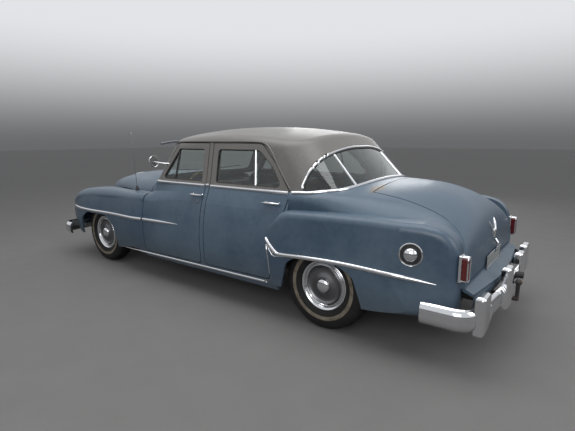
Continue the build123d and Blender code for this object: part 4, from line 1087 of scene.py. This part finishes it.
def cushion(name, depth, width, thick, middle, lean, first, last, spacing):
    """Pleated, piped and filled cushion in the place of its solid."""
    work = bmesh.new()
    bmesh.ops.create_cube(work, size=1.0)
    size = Vector((depth, width, thick)) - Vector((2, 2, 2)) * (SWELL - 0.003)
    bmesh.ops.scale(work, vec=size, verts=work.verts)
    bmesh.ops.bevel(work, geom=list(work.edges), offset=0.04, segments=4, affect="EDGES", profile=0.5)
    mesh = bpy.data.meshes.new(name + "_pad")
    work.to_mesh(mesh)
    work.free()
    mesh.materials.append(SEAT)
    piece = placed(name + "_pad", mesh)
    remesh = piece.modifiers.new("remesh", "REMESH")
    remesh.mode = "VOXEL"
    remesh.voxel_size = VOXEL
    applied(piece)
    swell(piece, SWELL)
    piece.modifiers.new("finer", "SUBSURF").levels = 1
    applied(piece)
    start = -depth / 2 + first if lean else depth / 2 - last
    stop = -depth / 2 + last if lean else depth / 2 - first
    for vertex in piece.data.vertices:
        x, y, z = vertex.co
        vertex.co.z = max(z, 0.003 - thick / 2)
        if z < thick * 0.2:
            continue
        off = abs((y + spacing / 2) % spacing - spacing / 2)
        inside = eased(x, start - 0.02, start) * (1 - eased(x, stop, stop + 0.02))
        inside *= 1 - eased(abs(y), width / 2 - 0.13, width / 2 - 0.11)
        dip = PLEAT[0] * (1 - eased(off, 0.0, PLEAT[1])) * inside
        for edge in (start, stop):
            dip = max(dip, SEAM[0] * (1 - eased(abs(x - edge), 0.0, SEAM[1]))
                      * (1 - eased(abs(y), width / 2 - 0.11, width / 2 - 0.10)))
        vertex.co.z -= dip
    piece.data.materials.clear()
    piece.data.materials.append(SEAT)
    shade_smooth(piece.data)
    place = Matrix.Translation((middle[0] / 1000 + SHIFT, 0, middle[1] / 1000))
    place = place @ Matrix.Rotation(radians(lean), 4, "Y")
    piping(name, piece, depth, width, thick, place)
    piece.data.transform(place)
    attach(piece, "root")
    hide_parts(name)


def piping(name, pad, depth, width, thick, place):
    """Piped seam round the upper edge of a cushion."""
    faces = [p.vertices for p in pad.data.polygons]
    tree = BVHTree.FromPolygons([v.co for v in pad.data.vertices], faces)
    outline = rounded_outline(depth, width, 0.06, 9)
    points = []
    for p in evenly([Vector((x, y, thick / 2 - 0.012)) for x, y in outline], 0.012):
        spot, normal, _, _ = tree.find_nearest(p)
        points.append(place @ (spot + normal * 0.002))
    tube(name + "_piping", points, 0.0042, PIPING, "root", 8, closed=True)


def seats():
    for row in SEATS:
        cushion(*row)


STEERING_HUB = [(0.002, 0.0), (0.002, 0.03), (0.03, 0.037), (0.05, 0.037), (0.056, 0.033),
                (0.058, 0.028)]
HORN_CAP = [(0.056, 0.030), (0.062, 0.027), (0.066, 0.018), (0.068, 0.0)]
SIGNAL_KNOB = [(-0.008, 0), (-0.006, 0.007), (0.003, 0.009), (0.011, 0.006), (0.013, 0)]
HORN_RING_R = 0.128


def steering():
    """Cream wheel with three spokes, bright horn ring and hub, and the lever beside it."""
    away = Vector((-cos(STEER_TILT), 0, sin(STEER_TILT)))
    across = Vector((0, 1, 0))
    up = away.cross(across)

    def spot(radius, angle, height):
        return STEER_HUB + away * height + across * radius * cos(angle) + up * radius * sin(angle)

    body = "steering_wheel"
    turn = [2 * pi * i / 120 for i in range(120)]
    circle = [spot(STEER_R, a, 0.041) for a in turn]
    rim = tube("steering_rim", circle, 0.0105, WHEEL_PLASTIC, body, 16, closed=True)
    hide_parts("steering_wheel")
    for i in range(3):
        a = pi / 2 + i * 2 * pi / 3
        spoke = [spot(0.02, a, 0.036), spot(0.12, a, 0.034), spot(STEER_R - 0.004, a, 0.04)]
        tube(f"steering_spoke_{i + 1}", spoke, 0.011, WHEEL_PLASTIC, body, flat=0.5)
    turned("steering_hub", STEER_HUB, away, STEERING_HUB, WHEEL_PLASTIC, body)
    turned("horn_cap", STEER_HUB, away, HORN_CAP, CHROME, body)
    ring = [spot(HORN_RING_R, a, 0.054) for a in turn]
    tube("horn_ring", ring, 0.004, CHROME, body, 10, closed=True)
    for i in range(2):
        arm = [spot(0.024, i * pi, 0.056), spot(HORN_RING_R, i * pi, 0.054)]
        tube(f"horn_arm_{i + 1}", arm, 0.0045, CHROME, body, 10)
    column = STEER_HUB - away * 0.07
    tip = column + across * 0.17 + up * 0.02 + away * 0.02
    tube("signal_lever", [column, column.lerp(tip, 0.5), tip], 0.0035)
    turned("signal_knob", tip, across, SIGNAL_KNOB, WHEEL_PLASTIC, "root", 20)


# Dials as (place across, radius); their rings as (out, inset) and the height of their middles
DIALS = ((0.37, 0.055), (0.235, 0.032), (0.505, 0.032))
DIAL_RING = ((-0.002, 0), (0.008, 0), (0.011, 0.003), (0.008, 0.007), (0.002, 0.008))
DIAL_Z = 0.925
GLOVEBOX = ((-0.25, 0.885), (-0.55, 0.885), (-0.55, 0.965), (-0.25, 0.965))


def dashboard_fittings():
    """Dials, speaker bars, glove-box lid and bright strip of the instrument panel."""
    skin = Skin("dashboard")

    def met(y, z):
        return skin.met((0, y, z), (1, 0, 0))

    for i, (y, radius) in enumerate(DIALS):
        point, normal = met(y, DIAL_Z)
        ring = [(out, radius - inset) for out, inset in DIAL_RING]
        turned(f"dial_ring_{i + 1}", point, normal, ring, segments=40)
        face = [(0.003, radius - 0.006), (0.003, 0.006), (0.008, 0.004), (0.009, 0)]
        turned(f"dial_face_{i + 1}", point, normal, face, DIAL, "root", 40)
        side = Vector((0, 1, 0))
        pivot = point + normal * 0.007
        end = pivot + (side * 0.6 + normal.cross(side) * 0.8) * radius * 0.75
        tube(f"dial_hand_{i + 1}", [pivot, end], 0.0012, SEAL, "root", 6)
    for i in range(7):
        hits = [met(y, 0.895 + i * 0.011) for y in steps(-0.09, 0.09, 9)]
        bead(f"speaker_bar_{i + 1}", hits, 0.005, 0.004)
    lid = [met(y, z) for y, z in GLOVEBOX]
    edge = [(p, lid[0][1]) for p in evenly([p for p, _ in lid], 0.01)]
    bead("glovebox_edge", edge, 0.005, 0.003, closed=True)
    bead("dash_strip", [met(y, 0.872) for y in steps(-0.62, 0.62, 31)], 0.012, 0.006)


def lining(name, skin, start, way, across, along, lift, finish, body):
    """Sheet that follows the inner side of panels, where a grid of rays meets them."""
    verts, faces, index = [], [], {}
    for i, u in enumerate(across):
        for j, v in enumerate(along):
            point = skin.tree.ray_cast(start(u, v), way, 2.0)[0]
            if point is not None:
                index[i, j] = len(verts)
                verts.append(point - way * lift)
    for i in range(len(across) - 1):
        for j in range(len(along) - 1):
            cell = [(i, j), (i + 1, j), (i + 1, j + 1), (i, j + 1)]
            if all(c in index for c in cell):
                spots = [verts[index[c]] for c in cell]
                if max((p - q).dot(way) for p in spots for q in spots) < 0.03:
                    faces.append(tuple(index[c] for c in cell))
    thicken(new_piece(name, verts, faces, finish, body), 0.003, 0)


def linings():
    """Headliner and door cards."""
    lining("headliner", Skin("roof_and_pillars"), lambda x, y: Vector((x, y, 1.25)), Vector((0, 0, 1)),
           steps(-1.02, 0.5, 44), steps(-0.6, 0.6, 31), 0.012, HEADLINER, "root")
    for side, sign in SIDES:
        for end, low, high in (("front", -0.2, 0.56), ("rear", -1.03, -0.27)):
            body = f"door_{end}_{side}"
            lining(f"door_card_{end}_{side}", Skin(body), lambda x, z: Vector((x + SHIFT, 0, z)),
                   Vector((0, sign, 0)), steps(low, high, 27), steps(0.43, 1.03, 22), 0.006, CARD, body)


MIRROR_ROOT, MIRROR_HEAD = (0.312 + SHIFT, 0.752, 1.240), (0.464 + SHIFT, 0.846, 1.262)
MIRROR_SHELL = [(-0.030, 0), (-0.027, 0.022), (-0.018, 0.043), (-0.004, 0.056), (0.006, 0.059),
                (0.010, 0.057), (0.008, 0.054)]
MIRROR_FOOT = [(-0.012, 0.02), (0.002, 0.019), (0.008, 0.012), (0.01, 0)]


def mirror():
    """Round mirror on the left front door, seen edge-on from the side."""
    foot, head = Vector(MIRROR_ROOT), Vector(MIRROR_HEAD)
    back, body = (-1, 0, 0), "door_front_left"
    shell = turned("mirror_shell", head, back, MIRROR_SHELL, CHROME, body)
    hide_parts("side_mirror")
    turned("mirror_glass", head, back, [(0.007, 0.055), (0.0065, 0.0)], STAINLESS, body)
    arm = [foot, foot.lerp(head, 0.5) + Vector((0, 0.012, -0.004)), head + Vector((0.02, 0, 0))]
    tube("mirror_arm", arm, 0.0065, CHROME, body)
    turned("mirror_foot", foot, (0.2, 1, 0.2), MIRROR_FOOT, CHROME, body, 24)


def visor_trim():
    """Bright edge and middle rib of the outside visor."""
    skin = Skin("sun_visor")

    def lip(y):
        near, far = 0.3 + SHIFT, 0.95 + SHIFT
        for _ in range(14):
            middle = (near + far) / 2
            if skin.top(middle, y):
                near = middle
            else:
                far = middle
        point, normal = skin.top(near, y)
        return point, (Vector((1, 0, 0)) + normal * 0.4).normalized()

    bead("visor_edge", [lip(y) for y in steps(-0.62, 0.62, 41)], 0.022, 0.008)
    bead("visor_rib", [skin.top(x + SHIFT, 0.0) for x in steps(0.32, 0.74, 16)], 0.02, 0.008)


def door_handles():
    """Winged pull handles on two feet."""
    scales = [0.3 + 0.7 * eased(t, 0, 0.3) * (1 - 0.45 * eased(t, 0.55, 1)) for t in steps(0, 1, 33)]
    for side, sign in SIDES:
        for end in ("front", "rear"):
            node, body = f"handle_{end}_{side}", f"door_{end}_{side}"
            low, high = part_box(node)
            y = (max if sign > 0 else min)(low.y, high.y) - sign * 0.009
            z = (low.z + high.z) / 2
            length = high.x - low.x
            path = [(high.x - length * t, y - sign * 0.006 * (2 * t - 1) ** 2, z) for t in steps(0, 1, 5)]
            bar = tube(f"pull_{end}_{side}", path, 0.0165, CHROME, body, 16, 8, scales, flat=0.72)
            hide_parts(node)
            for i, x in enumerate((low.x + 0.024, high.x - 0.026)):
                point, _ = Skin(body).side(x, z, sign)
                shaft = [(-0.002, 0.011), (0.003, 0.010), (0.008, 0.007), (abs(y - point.y), 0.006)]
                turned(f"pull_foot_{end}_{side}_{i + 1}", point, (0, sign, 0), shaft, CHROME, body, 24)


# Ribs of each bumper: the way from its outer face into the car, and their places across
BUMPER_RIBS = {"rear": (1, (0.150, 0.350, 0.685)), "front": (-1, (0.215, 0.385))}


def bumper_ribs():
    """Pairs of raised bands round the blade beside the guards of both bumpers."""
    for end, (way, rows) in BUMPER_RIBS.items():
        skin = Skin(f"{end}_bumper")
        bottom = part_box(f"{end}_bumper")[0].z
        heights = steps(bottom + 0.012, bottom + 0.156, 19)
        for side, sign in SIDES:
            for i, y in enumerate(rows):
                for j, shift in enumerate((-0.017, 0.017)):
                    hits = [skin.met((-way * 4, sign * (y + shift), z), (way, 0, 0)) for z in heights]
                    hits = [hit for hit in hits if hit and hit[1].x * way < -0.2]
                    if len(hits) < 5:
                        continue
                    edge = hits[-1][0]
                    for reach in (0.012, 0.026, 0.042):
                        met = skin.top(edge.x + way * reach, edge.y)
                        if met and abs(met[0].z - edge.z) < 0.05:
                            hits.append(met)
                    bead(f"{end}_bumper_rib_{side}_{i + 1}_{j + 1}", hits, 0.019, 0.017, taper=(0.1,))


# Levels of the panel under the tail pan, and how far each leans forward
APRON = ((0.46, 0.0), (0.44, 0.002), (0.41, 0.009), (0.394, 0.022))
APRON_HALF, APRON_COLUMNS = 0.752, 61


def apron():
    """Painted panel that closes the gap between the tail pan and the rear bumper."""
    verts = []
    for y in steps(-APRON_HALF, APRON_HALF, APRON_COLUMNS):
        for z in steps(0.47, 0.53, 31):
            met = REAR_BODY.behind(y, z)
            if met and met[0].x < -2.4:
                break
        foot = met[0]
        verts.append(foot + Vector((0.003, 0, 0.004)))
        for z, lean in APRON:
            verts.append(Vector((foot.x + 0.001 + lean, y, z)))
    faces = grid_faces(APRON_COLUMNS, len(APRON) + 1)
    thicken(new_piece("rear_apron", verts, faces, BLUE, "root"), 0.002)


PLATE_SIZE, PLATE_THICK = (0.44, 0.096), 0.0016
# Layers of the plate as (inset, height): flat below, softened above
PLATE_LAYERS = ((0, 0), (0, PLATE_THICK * 0.7), (PLATE_THICK * 0.4, PLATE_THICK))


def plate():
    """Blank plate and its bright frame under the trunk handle."""
    point, _ = Skin("trunk_lid", "rear_body").behind(0.0, 0.62)
    x, z = point.x - 0.012, 0.585
    verts = []
    for inset, height in PLATE_LAYERS:
        outline = rounded_outline(*PLATE_SIZE, 0.012, 7, inset)
        verts += [Vector((x - height, -across, z + up)) for across, up in outline]
    count = len(outline)
    faces = [tuple(range(count)), tuple(2 * count + i for i in reversed(range(count)))]
    faces += grid_faces(len(PLATE_LAYERS), count, columns_close=True)
    new_piece("plate", verts, faces, PLATE, "trunk_lid")
    corners = ((0.222, -0.049), (-0.222, -0.049), (-0.222, 0.049), (0.222, 0.049))
    edge = [Vector((x - 0.001, y, z + up)) for y, up in corners]
    tube("plate_frame", evenly(edge, 0.006), 0.003, CHROME, "trunk_lid", 8, closed=True)


WIPER_PIVOT = [(0, 0.014), (0.01, 0.012), (0.016, 0.007), (0.017, 0)]


def wipers():
    """Wiper blades parked along the foot of the windshield."""
    skin = Skin("windshield")
    low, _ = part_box("windshield")
    for side, sign in SIDES:
        line = zip(steps(0.12, 0.50, 17), steps(low.z + 0.035, low.z + 0.055, 17))
        hits = [skin.front(sign * y, z) for y, z in line]
        hits = [(point + normal * 0.004, normal) for point, normal in filter(None, hits)]
        bead(f"wiper_blade_{side}", hits, 0.006, 0.008, SEAL)
        middle, out = hits[len(hits) // 2]
        foot, normal = skin.front(sign * 0.32, low.z + 0.008)
        arm = [foot + normal * 0.012, foot.lerp(middle, 0.5) + normal * 0.02, middle + out * 0.012]
        tube(f"wiper_arm_{side}", arm, 0.0035, STAINLESS)
        turned(f"wiper_pivot_{side}", foot, normal, WIPER_PIVOT, segments=24)


def tail_lamp_trim():
    """Bright frame round each tail lens, held by bars over and under it."""
    skin = Skin("tail_lenses")
    low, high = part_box("tail_lenses")
    inner, outer = high.y - 0.054, high.y
    centre, height = (inner + outer) / 2, (low.z + high.z) / 2
    outline = rounded_outline(outer - inner + 0.002, high.z - low.z + 0.002, 0.012, 7)
    for side, sign in SIDES:
        line = [Vector((low.x + 0.006, sign * centre + y, height + z)) for y, z in outline]
        tube(f"tail_lamp_frame_{side}", evenly(line, 0.004), 0.0045, closed=True)
        for i, z in enumerate((low.z, high.z)):
            for j, y in enumerate((inner + 0.010, centre, outer - 0.010)):
                start = Vector((low.x + 0.008, sign * y, z))
                stay = [start, start + Vector((0.040, 0, 0))]
                tube(f"tail_lamp_stay_{side}_{i + 1}_{j + 1}", stay, 0.0055)
        hits = [skin.behind(sign * centre, z) for z in steps(low.z + 0.004, high.z - 0.004, 15)]
        bead(f"tail_lamp_bar_{side}", hits, 0.005, 0.004)


PARKING_PLACE = (0.662, 0.49)
PARKING_RING = [(-0.004, 0.04), (0.012, 0.039), (0.015, 0.035), (0.01, 0.031)]
PARKING_LENS = [(0.008, 0.033), (0.018, 0.028), (0.025, 0.016), (0.027, 0)]


def parking_lamps():
    """Small round lamps under the headlamps."""
    skin = Skin("front_fenders", "nose_panel")
    for side, sign in SIDES:
        point, _ = skin.front(sign * PARKING_PLACE[0], PARKING_PLACE[1])
        turned(f"parking_ring_{side}", point, (1, 0, 0), PARKING_RING, segments=32)
        turned(f"parking_lens_{side}", point, (1, 0, 0), PARKING_LENS, AMBER, segments=32)


LOCK_PLACE = (-0.205 + SHIFT, 0.905)
LOCK = [(-0.003, 0.012), (0.004, 0.012), (0.006, 0.009), (0.006, 0)]


def locks():
    """Lock cylinders under the front handles."""
    for side, sign in SIDES:
        body = f"door_front_{side}"
        point, normal = Skin(body).side(*LOCK_PLACE, sign)
        turned(f"door_lock_{side}", point, normal, LOCK, BRUSHED, body, 24)


def main():
    dress_nodes()
    camera()
    floor()
    surroundings()
    wheels()
    for side, sign in SIDES:
        side_trim(side, sign)
        drip_rail(side, sign)
    rear_belt()
    windows()
    fuel_filler()
    aerial()
    hood_trim()
    rear_trim()
    locks()
    seats()
    steering()
    dashboard_fittings()
    linings()
    mirror()
    visor_trim()
    door_handles()
    bumper_ribs()
    plate()
    apron()
    wipers()
    tail_lamp_trim()
    parking_lamps()


SCENE.view_settings.view_transform = "Standard"
main()
